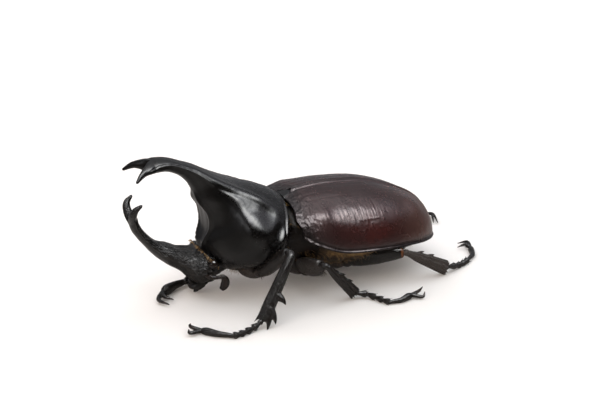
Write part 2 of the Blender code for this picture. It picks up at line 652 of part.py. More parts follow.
def make_leg(name, leg):
    form = PAIRS[leg["pair"]]
    ankle = Vector(leg["ankle"])
    way, wide = directions(leg)
    body = keel_solid if leg["pair"] == "fore" else trunk_solid
    coxa = keep_side(coxa_solid(leg), leg["hip"], way)
    node("coxa_" + name, carve(coxa, [body(GAP)]), GREY_BLACK, 0.45)
    node("femur_" + name, carve(femur_solid(leg), [body(GAP)]), BLACK, 0.25)

    bend = knee_path(femur_path(leg)[-1] + way * GAP, way, wide, ankle)
    knee = bend[-1]
    count = len(form["tibia_width"])
    line = bend + [knee.lerp(ankle, k / (count - 1)) for k in range(1, count)]
    widths = [form["tibia_width"][0]] * (len(bend) - 1) + list(form["tibia_width"])
    depths = [form["tibia_depth"][0]] * (len(bend) - 1) + list(form["tibia_depth"])
    tibia = tube(line, widths, depths, leg["edge"], LEG_SIDES, way)
    shin = (ankle - knee).normalized()
    edge = (Vector(leg["edge"]) - shin * shin.dot(Vector(leg["edge"]))).normalized()
    spines = []
    for place, length, lean, thick in form["teeth"]:
        root = knee.lerp(ankle, place)
        width = curve_at([(w,) for w in form["tibia_width"]], place)[0]
        turned = (edge + shin * lean).normalized()
        spines.append(tooth(root + edge * (width - 0.35), turned, length, thick, shin))
    for place, length in form["spurs"]:
        root = ankle + edge * place * form["tibia_width"][-1] * 0.8 - shin * 0.3
        spines.append(tooth(root, (shin + edge * 0.35 * place).normalized(), length, 0.3, edge))
    tibia = on_floor(fuse(tibia, spines))
    node("tibia_" + name, tibia, BLACK, 0.3)

    make_foot(name, leg, shin)


def on_floor(mesh):
    # flat soles at z = 0
    below = bmesh.new()
    bmesh.ops.create_cube(below, size=1.0)
    for vert in below.verts:
        vert.co = Vector((vert.co.x * 200, vert.co.y * 200, (vert.co.z - 0.5) * 10)) * MM
    return carve(mesh, [closed(below)])


def make_foot(name, leg, shin):
    joints = [Vector(p) for p in leg["foot"]]
    path, sizes = [Vector(leg["ankle"]) - shin * 0.4], [TARSUS_NARROW]
    for first, second in zip(joints[:4], joints[1:5]):
        path += [first.lerp(second, 0.06), first.lerp(second, 0.86)]
        sizes += [TARSUS_NARROW, TARSUS_WIDE]
    path += [joints[4].lerp(joints[5], 0.05), joints[5], joints[5].lerp(joints[6], 0.8), joints[6]]
    sizes += [TARSUS_NARROW, TARSUS_NARROW * 1.2, TARSUS_WIDE, TARSUS_WIDE * 0.7]
    foot = tube(path, sizes, [s * 0.95 for s in sizes], (0, 0, 1), TARSUS_SIDES)
    claws = []
    last = (joints[6] - joints[5]).normalized()
    for bend, tip in leg["claws"]:
        root = joints[6] - last * 0.5
        line = [root, joints[6] + last * 0.3, Vector(bend), Vector(tip)]
        claws.append(smooth_tube([tuple(p) for p in line], CLAW_SIZES, 5, CLAW_SIDES))
    foot = keep_side(fuse(foot, claws), Vector(leg["ankle"]) + shin * GAP, -shin)
    node("tarsus_" + name, on_floor(foot), BLACK, 0.35)


def main():
    for thing in list(bpy.data.objects):
        bpy.data.objects.remove(thing)
    make_thorax()
    make_keel()
    make_head()
    make_antennae()
    make_mouthparts()
    make_trunk()
    make_scutellum()
    make_shells()
    for name, leg in LEGS.items():
        make_leg(name, leg)


main()
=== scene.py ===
import math
import random

import bmesh
import bpy
import numpy as np
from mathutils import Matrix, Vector, noise


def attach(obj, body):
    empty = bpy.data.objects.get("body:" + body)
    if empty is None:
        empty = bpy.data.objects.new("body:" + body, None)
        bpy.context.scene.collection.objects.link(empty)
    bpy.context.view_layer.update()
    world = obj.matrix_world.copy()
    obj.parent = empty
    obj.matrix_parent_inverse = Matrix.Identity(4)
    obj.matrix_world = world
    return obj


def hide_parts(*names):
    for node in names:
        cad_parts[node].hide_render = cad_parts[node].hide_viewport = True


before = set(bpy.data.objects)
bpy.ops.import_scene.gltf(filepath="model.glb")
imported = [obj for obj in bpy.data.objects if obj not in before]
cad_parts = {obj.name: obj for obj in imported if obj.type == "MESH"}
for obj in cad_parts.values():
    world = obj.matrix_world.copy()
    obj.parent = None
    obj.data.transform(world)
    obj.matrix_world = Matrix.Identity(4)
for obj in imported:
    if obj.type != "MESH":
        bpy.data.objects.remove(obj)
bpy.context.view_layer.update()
mm = 0.001
draw = random.Random(7)
bothSides = (("Left", -1), ("Right", 1))


# curves, rings and grids

def curveAt(rows, t):
    # smooth curve through rows of numbers, t from 0 at the first row to 1 at the last
    rows = np.array(rows, float)
    spans = len(rows) - 1
    place = np.clip(np.atleast_1d(t), 0, 1) * spans
    i = np.minimum(place.astype(int), spans - 1)
    f = (place - i)[:, None]
    wide = np.vstack([2 * rows[0] - rows[1], rows, 2 * rows[-1] - rows[-2]])
    a, b, c, d = (wide[i + k] for k in range(4))
    square, cube = 2 * a - 5 * b + 4 * c - d, 3 * b - a - 3 * c + d
    return 0.5 * (2 * b + (c - a) * f + square * f ** 2 + cube * f ** 3)


def evenRows(rows, count):
    # rows along the same curve, equally far apart in their first three numbers
    dense = curveAt(rows, np.linspace(0, 1, 30 * len(rows)))
    steps = np.linalg.norm(np.diff(dense[:, :3], axis=0), axis=1)
    gone = np.concatenate([[0], np.cumsum(steps)])
    wanted = np.linspace(0, gone[-1], count)
    return np.stack([np.interp(wanted, gone, column) for column in dense.T], -1)


def unit(v):
    v = np.asarray(v, float)
    return v / np.maximum(np.linalg.norm(v, axis=-1, keepdims=True), 1e-9)


def smoothStep(x, low, high):
    t = np.clip((x - low) / (high - low), 0, 1)
    return t * t * (3 - 2 * t)


def bell(x, middle, width):
    return np.exp(-((x - middle) / width) ** 2)


def grain(points, size, octaves=2):
    # soft noise between about -1 and 1 at each point
    flat = points.reshape(-1, 3) / size
    return np.array([noise.fractal(Vector(p), 0.9, 2.0, octaves) for p in flat]).reshape(points.shape[:-1])


def ringOf(row, quarter):
    # closed ring from its top down the -Y side and up the +Y side, evenly spaced in each quarter
    topX, topZ, lowX, lowZ, halfWidth, waist, crown, keel, sweep = row
    half = []
    for part in (0, 1):
        turn = np.linspace(part, part + 1, 90) * math.pi / 2
        up, out = np.cos(turn), np.sin(turn)
        power = 2 / (keel if part else crown)
        reach, rise = np.abs(out) ** power, np.abs(up) ** power
        height = waist * (1 - rise) if part else waist + (1 - waist) * rise
        x = lowX + (topX - lowX) * height - sweep * reach ** 2
        points = np.stack([x, -halfWidth * reach, lowZ + (topZ - lowZ) * height], -1)
        gone = np.concatenate([[0], np.cumsum(np.linalg.norm(np.diff(points, axis=0), axis=1))])
        wanted = np.linspace(0, gone[-1], quarter + 1)[part:]
        half.append(np.stack([np.interp(wanted, gone, column) for column in points.T], -1))
    half = np.vstack(half)
    return np.vstack([half, half[-2:0:-1] * (1, -1, 1)])


def ringsOf(rows, count, quarter):
    return np.stack([ringOf(row, quarter) for row in curveAt(rows, np.linspace(0, 1, count))])


def outwards(grid):
    # unit normals of a grid of closed rings, facing out
    along = np.gradient(grid, axis=0)
    around = np.roll(grid, -1, 1) - np.roll(grid, 1, 1)
    normal = unit(np.cross(along, around))
    middle = grid.mean(1, keepdims=True)
    return normal * np.sign(((grid - middle) * normal).sum((1, 2)).reshape(-1, 1, 1) + 1e-9)


def raised(grid, relief):
    return grid + outwards(grid) * relief[..., None]


def swell(x, form):
    # a rounded ridge, or a groove where its height is below nothing: place, width and height
    place, width, height = form
    return height * bell(x, place, width)


def uneven(points, *waves):
    # soft unevenness; each wave has its height, its size and its octaves
    return sum(height * grain(points, size, octaves) for height, size, octaves in waves)


def startForm(s):
    # grid of a shell's rings, the place of each ring, the turn of each point and its way off the widest line
    grid = ringsOf(s["rows"], s["rings"], s["quarter"])
    place = np.linspace(0, 1, s["rings"])[:, None]
    turn = np.arange(grid.shape[1])[None, :]
    offEdge = np.minimum(np.abs(turn - s["quarter"]), np.abs(turn - 3 * s["quarter"]))
    return grid, place, turn, offEdge


# shapes: points, faces and marks, which are numbers kept at each point for the finishes

def skinOver(grid, caps=(True, True), **marks):
    rings, sides = grid.shape[:2]
    index = np.arange(rings * sides).reshape(rings, sides)
    after = np.roll(index, -1, 1)
    faces = np.stack([index[:-1], after[:-1], after[1:], index[1:]], -1).reshape(-1, 4).tolist()
    if caps[0]:
        faces.append(index[0].tolist())
    if caps[1]:
        faces.append(index[-1].tolist())
    marks = {name: np.broadcast_to(m, grid.shape[:2]).ravel() for name, m in marks.items()}
    return grid.reshape(-1, 3), faces, marks


def sheetOver(top, low, marks, lowMarks):
    # closed shell of an upper and a lower face, each with its marks
    count = top.shape[0] * top.shape[1]
    index = np.arange(count).reshape(top.shape[:2])
    quads = np.stack([index[:-1, :-1], index[:-1, 1:], index[1:, 1:], index[1:, :-1]], -1).reshape(-1, 4)
    faces = quads.tolist() + (quads + count).tolist()
    for line in (index[0], index[-1], index[:, 0], index[:, -1]):
        faces += [[a, b, b + count, a + count] for a, b in zip(line, line[1:])]
    both = {}
    for name, m in marks.items():
        both[name] = np.concatenate([np.broadcast_to(m, index.shape).ravel(), np.full(count, lowMarks[name])])
    return np.vstack([top.reshape(-1, 3), low.reshape(-1, 3)]), faces, both


def together(shapes):
    points, faces, marks, start = [], [], {}, 0
    names = sorted({name for shape in shapes for name in shape[2]})
    for shape in shapes:
        points.append(shape[0])
        faces += [[i + start for i in face] for face in shape[1]]
        for name in names:
            marks.setdefault(name, []).append(shape[2].get(name, np.zeros(len(shape[0]))))
        start += len(shape[0])
    return np.vstack(points), faces, {name: np.concatenate(parts) for name, parts in marks.items()}


def meshOf(shape):
    points, faces, marks = shape
    mesh = bmesh.new()
    for name in marks:
        mesh.verts.layers.float.new(name)
    verts = [mesh.verts.new(p) for p in (points * mm).tolist()]
    for face in faces:
        mesh.faces.new([verts[i] for i in face])
    for name, values in marks.items():
        layer = mesh.verts.layers.float[name]
        for vert, value in zip(verts, values.tolist()):
            vert[layer] = value
    bmesh.ops.recalc_face_normals(mesh, faces=mesh.faces)
    return mesh


def cutAway(mesh, point, normal, lining=0):
    # clears what lies beyond a plane and closes the cut with a flat lining
    everything = mesh.verts[:] + mesh.edges[:] + mesh.faces[:]
    cut = bmesh.ops.bisect_plane(mesh, geom=everything, dist=1e-7, plane_co=Vector(point) * mm,
                                 plane_no=Vector(normal), clear_outer=True)
    rim = [e for e in cut["geom_cut"] if isinstance(e, bmesh.types.BMEdge)]
    for face in bmesh.ops.holes_fill(mesh, edges=rim, sides=0)["faces"]:
        face.material_index = lining
    bmesh.ops.recalc_face_normals(mesh, faces=mesh.faces)


def fused(shapes, voxel, smoothing):
    # one closed skin round shapes that overlap, with soft joins, and its normals
    points, faces, _ = together(shapes)
    data = bpy.data.meshes.new("raw")
    data.from_pydata(points.tolist(), [], faces)
    thing = bpy.data.objects.new("raw", data)
    bpy.context.scene.collection.objects.link(thing)
    remesh = thing.modifiers.new("skin", "REMESH")
    remesh.mode = "VOXEL"
    remesh.voxel_size = voxel
    smooth = thing.modifiers.new("ease", "SMOOTH")
    smooth.factor = 0.5
    smooth.iterations = smoothing
    done = thing.evaluated_get(bpy.context.evaluated_depsgraph_get()).to_mesh()
    count = len(done.vertices)
    spots, normals = np.empty(count * 3), np.empty(count * 3)
    done.vertices.foreach_get("co", spots)
    done.vertices.foreach_get("normal", normals)
    corners = [list(face.vertices) for face in done.polygons]
    bpy.data.objects.remove(thing)
    bpy.data.meshes.remove(data)
    return spots.reshape(-1, 3), corners, normals.reshape(-1, 3)


def thingOf(name, mesh, finishes):
    data = bpy.data.meshes.new(name)
    mesh.to_mesh(data)
    mesh.free()
    for finish in finishes:
        data.materials.append(finish)
    thing = bpy.data.objects.new(name, data)
    bpy.context.scene.collection.objects.link(thing)
    return thing


def piece(name, mesh, finishes, nodes=(), sharp=50.0):
    thing = thingOf(name, mesh, finishes)
    thing.data.shade_smooth()
    thing.data.set_sharp_from_angle(angle=math.radians(sharp))
    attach(thing, "root")
    if nodes:
        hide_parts(*nodes)


def limb(path, widths, depths, edge, rings, sides, outline=None, ends=(1.0, 1.0), capRings=6):
    # rounded limb along a path, wide along edge; ends say how far each end bulges, in radii
    rows = evenRows(np.column_stack([path, widths, depths]), rings)
    centre, along = rows[:, :3], unit(np.gradient(rows[:, :3], axis=0))
    wide = unit(edge - along * (along @ np.array(edge, float))[:, None])
    deep = np.cross(along, wide)
    t = np.linspace(0, 1, rings)
    bends = np.linspace(0.97, 0.12, capRings)
    stations = []                                   # ring number, shrink, push beyond the end
    if ends[0]:
        stations += [(0, b, -math.sqrt(1 - b * b) * ends[0]) for b in bends[::-1]]
    stations += [(i, 1.0, 0.0) for i in range(rings)]
    if ends[1]:
        stations += [(rings - 1, b, math.sqrt(1 - b * b) * ends[1]) for b in bends]
    turn = np.arange(sides) * 2 * math.pi / sides
    grid, place = [], []
    for i, shrink, push in stations:
        swell = outline(turn, t[i]) if outline else np.ones(sides)
        wideBy = (rows[i, 3] * shrink * swell * np.cos(turn))[:, None] * wide[i]
        deepBy = (rows[i, 4] * shrink * swell * np.sin(turn))[:, None] * deep[i]
        middle = centre[i] + along[i] * push * 0.5 * (rows[i, 3] + rows[i, 4])
        grid.append(middle + wideBy + deepBy)
        place.append(t[i])
    return np.stack(grid), np.array(place)


def ballGrid(centre, size, rings=24, sides=36, turn=0.0):
    fall = np.linspace(0.04, math.pi - 0.04, rings)[:, None]
    spin = (np.arange(sides) * 2 * math.pi / sides)[None, :]
    x, y = size[0] * np.sin(fall) * np.cos(spin), size[1] * np.sin(fall) * np.sin(spin)
    z = size[2] * np.cos(fall) * np.ones_like(spin)
    across, along = x * math.cos(turn) - y * math.sin(turn), x * math.sin(turn) + y * math.cos(turn)
    return np.stack([across, along, z], -1) + centre


def rod(*form, **more):
    # closed skin round a limb
    return skinOver(limb(*form, **more)[0])


def beadsAlong(line, beads, shares, sides):
    # swollen joints, each between two places of a line of 101 points, with its thickness
    shapes = []
    for first, last, thick in beads:
        span = line[int(first * 100):int(last * 100) + 1]
        sizes = [thick * share for share in shares]
        shapes.append(rod(span[[0, len(span) // 2, -1]], sizes, sizes, (0, 0, 1), 9, sides))
    return shapes


# shader helpers and the effects that several finishes share

def connect(tree, value, socket):
    if isinstance(value, bpy.types.NodeSocket):
        tree.links.new(value, socket)
    else:
        socket.default_value = value


def put(tree, kind, sockets=None, **settings):
    node = tree.nodes.new("ShaderNode" + kind)
    for key, value in settings.items():
        setattr(node, key, value)
    for key, value in (sockets or {}).items():
        connect(tree, value, node.inputs[key])
    return node


def worked(tree, operation, a, b=0.0):
    return put(tree, "Math", {0: a, 1: b}, operation=operation).outputs[0]


def plus(tree, a, b):
    return worked(tree, "ADD", a, b)


def times(tree, a, b):
    return worked(tree, "MULTIPLY", a, b)


def ramp(tree, value, low, high, start=0.0, end=1.0, kind="SMOOTHSTEP"):
    ends = {"Value": value, "From Min": low, "From Max": high, "To Min": start, "To Max": end}
    return put(tree, "MapRange", ends, interpolation_type=kind).outputs[0]


def blended(tree, share, first, second):
    return put(tree, "Mix", {0: share, 6: first, 7: second}, data_type="RGBA").outputs[2]


def scaledPlace(tree, place, size):
    scale = worked(tree, "DIVIDE", 1.0, size)
    return put(tree, "VectorMath", {0: place, "Scale": scale}, operation="SCALE").outputs[0]


def noiseOf(tree, place, detail, roughness=0.5, distortion=0.0):
    return put(tree, "TexNoise", {"Vector": place, "Scale": 1.0, "Detail": detail, "Roughness": roughness,
                                  "Distortion": distortion}).outputs["Fac"]


def newEffect(name, ins, outs):
    # a node group; each input takes its kind from its first value
    tree = bpy.data.node_groups.new(name, "ShaderNodeTree")
    kinds = {0: "Float", 3: "Vector", 4: "Color"}
    for label, value in {"Place": (0, 0, 0), **ins}.items():
        kind = "NodeSocket" + kinds[len(value) if isinstance(value, tuple) else 0]
        tree.interface.new_socket(name=label, in_out="INPUT", socket_type=kind).default_value = value
    for label in outs:
        kind = "NodeSocket" + ("Color" if label == "Colour" else "Float")
        tree.interface.new_socket(name=label, in_out="OUTPUT", socket_type=kind)
    return tree, tree.nodes.new("NodeGroupInput").outputs, tree.nodes.new("NodeGroupOutput").inputs


def makePits():
    # round punctures scattered over the shell
    tree, given, out = newEffect("pits", {"Spacing": 0.3, "Width": 0.3, "Depth": 0.02}, ("Height", "Mask"))
    spot = scaledPlace(tree, given["Place"], given["Spacing"])
    cells = put(tree, "TexVoronoi", {"Vector": spot, "Scale": 1.0, "Randomness": 0.9})
    hole = ramp(tree, cells.outputs["Distance"], given["Width"], 0.05)
    tree.links.new(hole, out["Mask"])
    tree.links.new(times(tree, times(tree, hole, given["Depth"]), -1.0), out["Height"])
    return tree


def makeWrinkles():
    # fine creases, drawn out along one direction by Stretch
    tree, given, out = newEffect("wrinkles", {"Stretch": (1, 1, 1), "Size": 1.0, "Depth": 0.02}, ("Height",))
    spot = scaledPlace(tree, given["Place"], given["Size"])
    drawn = put(tree, "VectorMath", {0: spot, 1: given["Stretch"]}, operation="MULTIPLY").outputs[0]
    fold = worked(tree, "ABSOLUTE", plus(tree, noiseOf(tree, drawn, 4.0, 0.6, 0.8), -0.5))
    crest = ramp(tree, fold, 0.0, 0.16, 1.0, 0.0)
    tree.links.new(times(tree, crest, given["Depth"]), out["Height"])
    return tree


def makeTones():
    # two colours in soft patches
    tree, given, out = newEffect("tones", {"Size": 4.0, "First": (0, 0, 0, 1), "Second": (1, 1, 1, 1),
                                           "Lean": 0.0}, ("Colour",))
    field = noiseOf(tree, scaledPlace(tree, given["Place"], given["Size"]), 5.0, 0.55)
    share = ramp(tree, plus(tree, field, given["Lean"]), 0.32, 0.68, kind="LINEAR")
    tree.links.new(blended(tree, share, given["First"], given["Second"]), out["Colour"])
    return tree


def makeHandling():
    # gloss that varies: polished, dull where marked, with faint smears
    tree, given, out = newEffect("handling", {"Dull": 0.0, "Polished": 0.2, "Satin": 0.45, "Smears": 0.08},
                                 ("Roughness",))
    smear = noiseOf(tree, scaledPlace(tree, given["Place"], 2.2), 6.0, 0.65, 1.2)
    span = worked(tree, "SUBTRACT", given["Satin"], given["Polished"])
    base = plus(tree, given["Polished"], times(tree, span, given["Dull"]))
    swing = times(tree, plus(tree, smear, -0.5), times(tree, given["Smears"], 2.0))
    tree.links.new(plus(tree, base, swing), out["Roughness"])
    return tree


effects = {"pits": makePits(), "wrinkles": makeWrinkles(), "tones": makeTones(), "handling": makeHandling()}


def effect(tree, name, place, **sockets):
    node = tree.nodes.new("ShaderNodeGroup")
    node.node_tree = effects[name]
    for key, value in {"Place": place, **sockets}.items():
        connect(tree, value, node.inputs[key])
    return node.outputs


def tonesOf(tree, place, size, first, second, lean=0.0):
    return effect(tree, "tones", place, Size=size, First=first, Second=second, Lean=lean)["Colour"]


def pitsOf(tree, place, spacing, width, depth):
    return effect(tree, "pits", place, Spacing=spacing, Width=width, Depth=depth)


def foldsOf(tree, place, stretch, size, depth):
    return effect(tree, "wrinkles", place, Stretch=stretch, Size=size, Depth=depth)["Height"]


def glossOf(tree, place, dull, polished, satin, smears):
    gloss = effect(tree, "handling", place, Dull=dull, Polished=polished, Satin=satin, Smears=smears)
    return gloss["Roughness"]


def startFinish(name):
    finish = bpy.data.materials.new(name)
    finish.use_nodes = True
    tree = finish.node_tree
    here = put(tree, "TexCoord").outputs["Object"]
    place = put(tree, "VectorMath", {0: here, "Scale": 1000.0}, operation="SCALE").outputs[0]
    return finish, tree, tree.nodes["Principled BSDF"], place


def mark(tree, name):
    return put(tree, "Attribute", attribute_name=name).outputs["Fac"]


def wire(tree, shader, colour, roughness, heights, constants=None):
    # colour, gloss and the sum of the heights, in millimetres, into the shader
    total = heights[0]
    for height in heights[1:]:
        total = plus(tree, total, height)
    bump = put(tree, "Bump", {"Strength": 1.0, "Distance": mm, "Height": total})
    for socket, value in (("Base Color", colour), ("Roughness", roughness), ("Normal", bump.outputs[0])):
        tree.links.new(value, shader.inputs[socket])
    for socket, value in (constants or {}).items():
        shader.inputs[socket].default_value = value


def rgb(*values):
    return (*values, 1.0)


# settings of a finish: tones are patch size, two colours and which leads; layers are a mark, its share and
# the colour or tones laid over; gloss is polished, satin and smears; pits are spacing, width and depth;
# folds are stretch, size and depth, and least is how much of them stays where nothing is dull

shellBlack = {
    "tones": (3.5, rgb(0.0011, 0.0009, 0.0009), rgb(0.0028, 0.0024, 0.0024)), "dull": "dull",
    "layers": (("crest", 0.5, rgb(0.012, 0.01, 0.009)),), "gloss": (0.26, 0.36, 0.05),
    "pits": ((0.34, 0.3, 0.006),), "folds": ((0.5, 1.2, 1.2), 0.7, 0.005), "least": 0.12,
    "constants": {"IOR": 1.5},
}

underside = {
    "tones": (2.4, rgb(0.0038, 0.003, 0.0027), rgb(0.011, 0.0068, 0.0045), -0.05), "dull": "soft",
    "layers": (("soft", 1.0, (0.8, rgb(0.011, 0.0068, 0.0045), rgb(0.17, 0.10, 0.035), 0.1)),
               ("crest", 0.4, rgb(0.011, 0.0068, 0.0045))),
    "gloss": (0.3, 0.6, 0.1), "pits": ((0.34, 0.34, 0.03),), "folds": ((1.0, 1.0, 1.0), 0.8, 0.03),
    "constants": {"Specular IOR Level": 0.28},
}

legBlack = {
    "tones": (1.6, rgb(0.0014, 0.0012, 0.0012), rgb(0.0048, 0.0042, 0.0038)), "dull": "dull",
    "layers": (("dull", 1.0, rgb(0.050, 0.042, 0.038)), ("crest", 0.5, rgb(0.022, 0.018, 0.015)),
               ("tip", 1.0, rgb(0.02, 0.009, 0.005)), ("skin", 1.0, rgb(0.20, 0.07, 0.02))),
    "gloss": (0.16, 0.5, 0.1), "pits": ((0.3, 0.32, 0.03),), "folds": ((1.0, 1.0, 1.0), 0.6, 0.05),
    "least": 0.25,
    "matt": 0.3,                                    # how far dull places lose their mirror
}

eyeBlack = {
    "tones": (0.6, rgb(0.004, 0.0035, 0.0035), rgb(0.012, 0.008, 0.006)), "dull": 0.0,
    "gloss": (0.08, 0.2, 0.03), "pits": ((0.07, 0.5, 0.0015),),
}


def smallSettings(first, second, size, rough, depth):
    return {"tones": (size, first, second), "dull": 0.5, "gloss": (rough - 0.1, rough + 0.1, 0.08),
            "folds": ((1, 1, 1), size * 0.4, depth)}


def makeFinish(name, s):
    finish, tree, shader, place = startFinish(name)
    dull = mark(tree, s["dull"]) if isinstance(s["dull"], str) else s["dull"]
    colour = tonesOf(tree, place, *s["tones"])
    for label, share, over in s.get("layers", ()):
        over = tonesOf(tree, place, *over) if isinstance(over[1], tuple) else over
        colour = blended(tree, times(tree, mark(tree, label), share), colour, over)
    heights = [pitsOf(tree, place, *pits)["Height"] for pits in s.get("pits", ())]
    if "folds" in s:
        fold = foldsOf(tree, place, *s["folds"])
        heights.append(times(tree, fold, plus(tree, dull, s["least"])) if "least" in s else fold)
    wire(tree, shader, colour, glossOf(tree, place, dull, *s["gloss"]), heights, s.get("constants"))
    if "matt" in s:
        mirror = worked(tree, "SUBTRACT", 0.5, times(tree, dull, s["matt"]))
        tree.links.new(mirror, shader.inputs["Specular IOR Level"])
    return finish


shellMaroon = {
    # the brighter red is a painted glow of light, laid over the maroon low on the case
    "deep": rgb(0.020, 0.0066, 0.0064), "warm": rgb(0.048, 0.0092, 0.0075),
    "dark": rgb(0.020, 0.0115, 0.0118), "edge": rgb(0.0035, 0.0027, 0.0027), "tail": rgb(0.066, 0.031, 0.025),
    "patch": 5.0, "paintedGlowPatch": 2.5, "paintedGlowLean": 0.12, "gloss": (0.25, 0.42, 0.07),
    "pits": ((0.42, 0.34, 0.016), (0.2, 0.34, 0.006)), "folds": ((1.6, 0.45, 0.45), 0.9, 0.03), "least": 0.12,
    "lines": (2.1, 0.12, 0.12), "lineDepth": 0.24,
    "constants": {"Specular Tint": rgb(1.0, 0.84, 0.84), "Coat Weight": 0.2, "Coat Roughness": 0.14,
                  "IOR": 1.5},
}


def makeShellMaroon():
    s = shellMaroon
    finish, tree, shader, place = startFinish("shell maroon")
    rough = mark(tree, "wrinkled")
    tones = tonesOf(tree, place, s["patch"], s["dark"], s["deep"])
    glow = tonesOf(tree, place, s["paintedGlowPatch"], s["deep"], s["warm"], s["paintedGlowLean"])
    # painted glow of light: a brighter red mixed into the maroon where its mark lies
    colour = blended(tree, mark(tree, "warm"), tones, glow)
    for label in ("tail", "edge"):
        colour = blended(tree, mark(tree, label), colour, s[label])
    heights = [pitsOf(tree, place, *pits)["Height"] for pits in s["pits"]]
    heights.append(times(tree, foldsOf(tree, place, *s["folds"]), plus(tree, rough, s["least"])))
    drawnOut = put(tree, "VectorMath", {0: place, 1: s["lines"]}, operation="MULTIPLY").outputs[0]
    lines = times(tree, noiseOf(tree, drawnOut, 2.0, distortion=0.15), s["lineDepth"])
    heights.append(times(tree, lines, mark(tree, "drawn")))
    wire(tree, shader, colour, glossOf(tree, place, rough, *s["gloss"]), heights, s["constants"])
    return finish


headBlack = {
    "tones": (1.2, rgb(0.003, 0.0027, 0.0025), rgb(0.012, 0.0105, 0.0095)), "crest": rgb(0.026, 0.022, 0.018),
    "crestShare": 0.6, "grains": (0.24, 0.45, 0.06), "grainShare": 0.6, "gloss": (0.16, 0.24, 0.08),
    "folds": ((0.6, 1.0, 1.0), 0.7, 0.09), "least": 0.1,
}


def makeHeadBlack():
    s = headBlack
    finish, tree, shader, place = startFinish("head black")
    dull = mark(tree, "dull")
    grains = pitsOf(tree, place, *s["grains"])
    worn = blended(tree, times(tree, mark(tree, "crest"), s["crestShare"]), tonesOf(tree, place, *s["tones"]),
                   s["crest"])
    colour = blended(tree, times(tree, grains["Mask"], s["grainShare"]), worn, s["tones"][1])
    rough = plus(tree, grains["Height"], foldsOf(tree, place, *s["folds"]))
    rough = times(tree, rough, plus(tree, dull, s["least"]))
    wire(tree, shader, colour, glossOf(tree, place, dull, *s["gloss"]), [rough])
    return finish


finishes = {
    "shell": makeFinish("shell black", shellBlack), "maroon": makeShellMaroon(), "head": makeHeadBlack(),
    "under": makeFinish("underside", underside), "leg": makeFinish("leg black", legBlack),
    "eye": makeFinish("eye", eyeBlack),
    "antenna": makeFinish("antenna brown", smallSettings(rgb(0.005, 0.0035, 0.003), rgb(0.014, 0.008, 0.0055),
                                                         0.8, 0.28, 0.02)),
    "hair": makeFinish("hair", smallSettings(rgb(0.10, 0.055, 0.022), rgb(0.36, 0.23, 0.10),
                                             0.9, 0.5, 0.004)),
    "fringe": makeFinish("fringe", smallSettings(rgb(0.26, 0.13, 0.04), rgb(0.62, 0.42, 0.18),
                                                 0.9, 0.5, 0.004)),
    "bristle": makeFinish("bristle", smallSettings(rgb(0.016, 0.009, 0.006), rgb(0.05, 0.026, 0.014),
                                                   0.7, 0.4, 0.003)),
}
print("finishes ready")


# camera

camera = {"turn": -25.0, "rise": 21.0, "away": 300.0, "lens": 84.7, "sensor": 36.0, "aim": (0.0, 0.0, 15.0)}


def placeCamera():
    turn, rise = math.radians(camera["turn"]), math.radians(camera["rise"])
    back = Vector((math.sin(turn) * math.cos(rise), -math.cos(turn) * math.cos(rise), math.sin(rise)))
    data = bpy.data.cameras.new("camera")
    data.lens = camera["lens"]
    data.sensor_width = camera["sensor"]
    data.sensor_fit = "HORIZONTAL"
    data.clip_start = 0.01
    eye = bpy.data.objects.new("camera", data)
    bpy.context.scene.collection.objects.link(eye)
    eye.location = (Vector(camera["aim"]) + back * camera["away"]) * mm
    eye.rotation_mode = "QUATERNION"
    eye.rotation_quaternion = (-back).to_track_quat("-Z", "Y")
    bpy.context.scene.camera = eye


placeCamera()


# a fork: two prongs that grow out of a ring, each from one half of it and a web down the middle

fork = {
    "start": 0.05, "tip": 0.8, "flatBy": 0.7, "roundBy": 0.6,
    "edge": (math.pi / 2, 0.3, 0.1),                # place round the prong, width and height of its edge
    "easeReach": 1.3, "eases": 8,
}


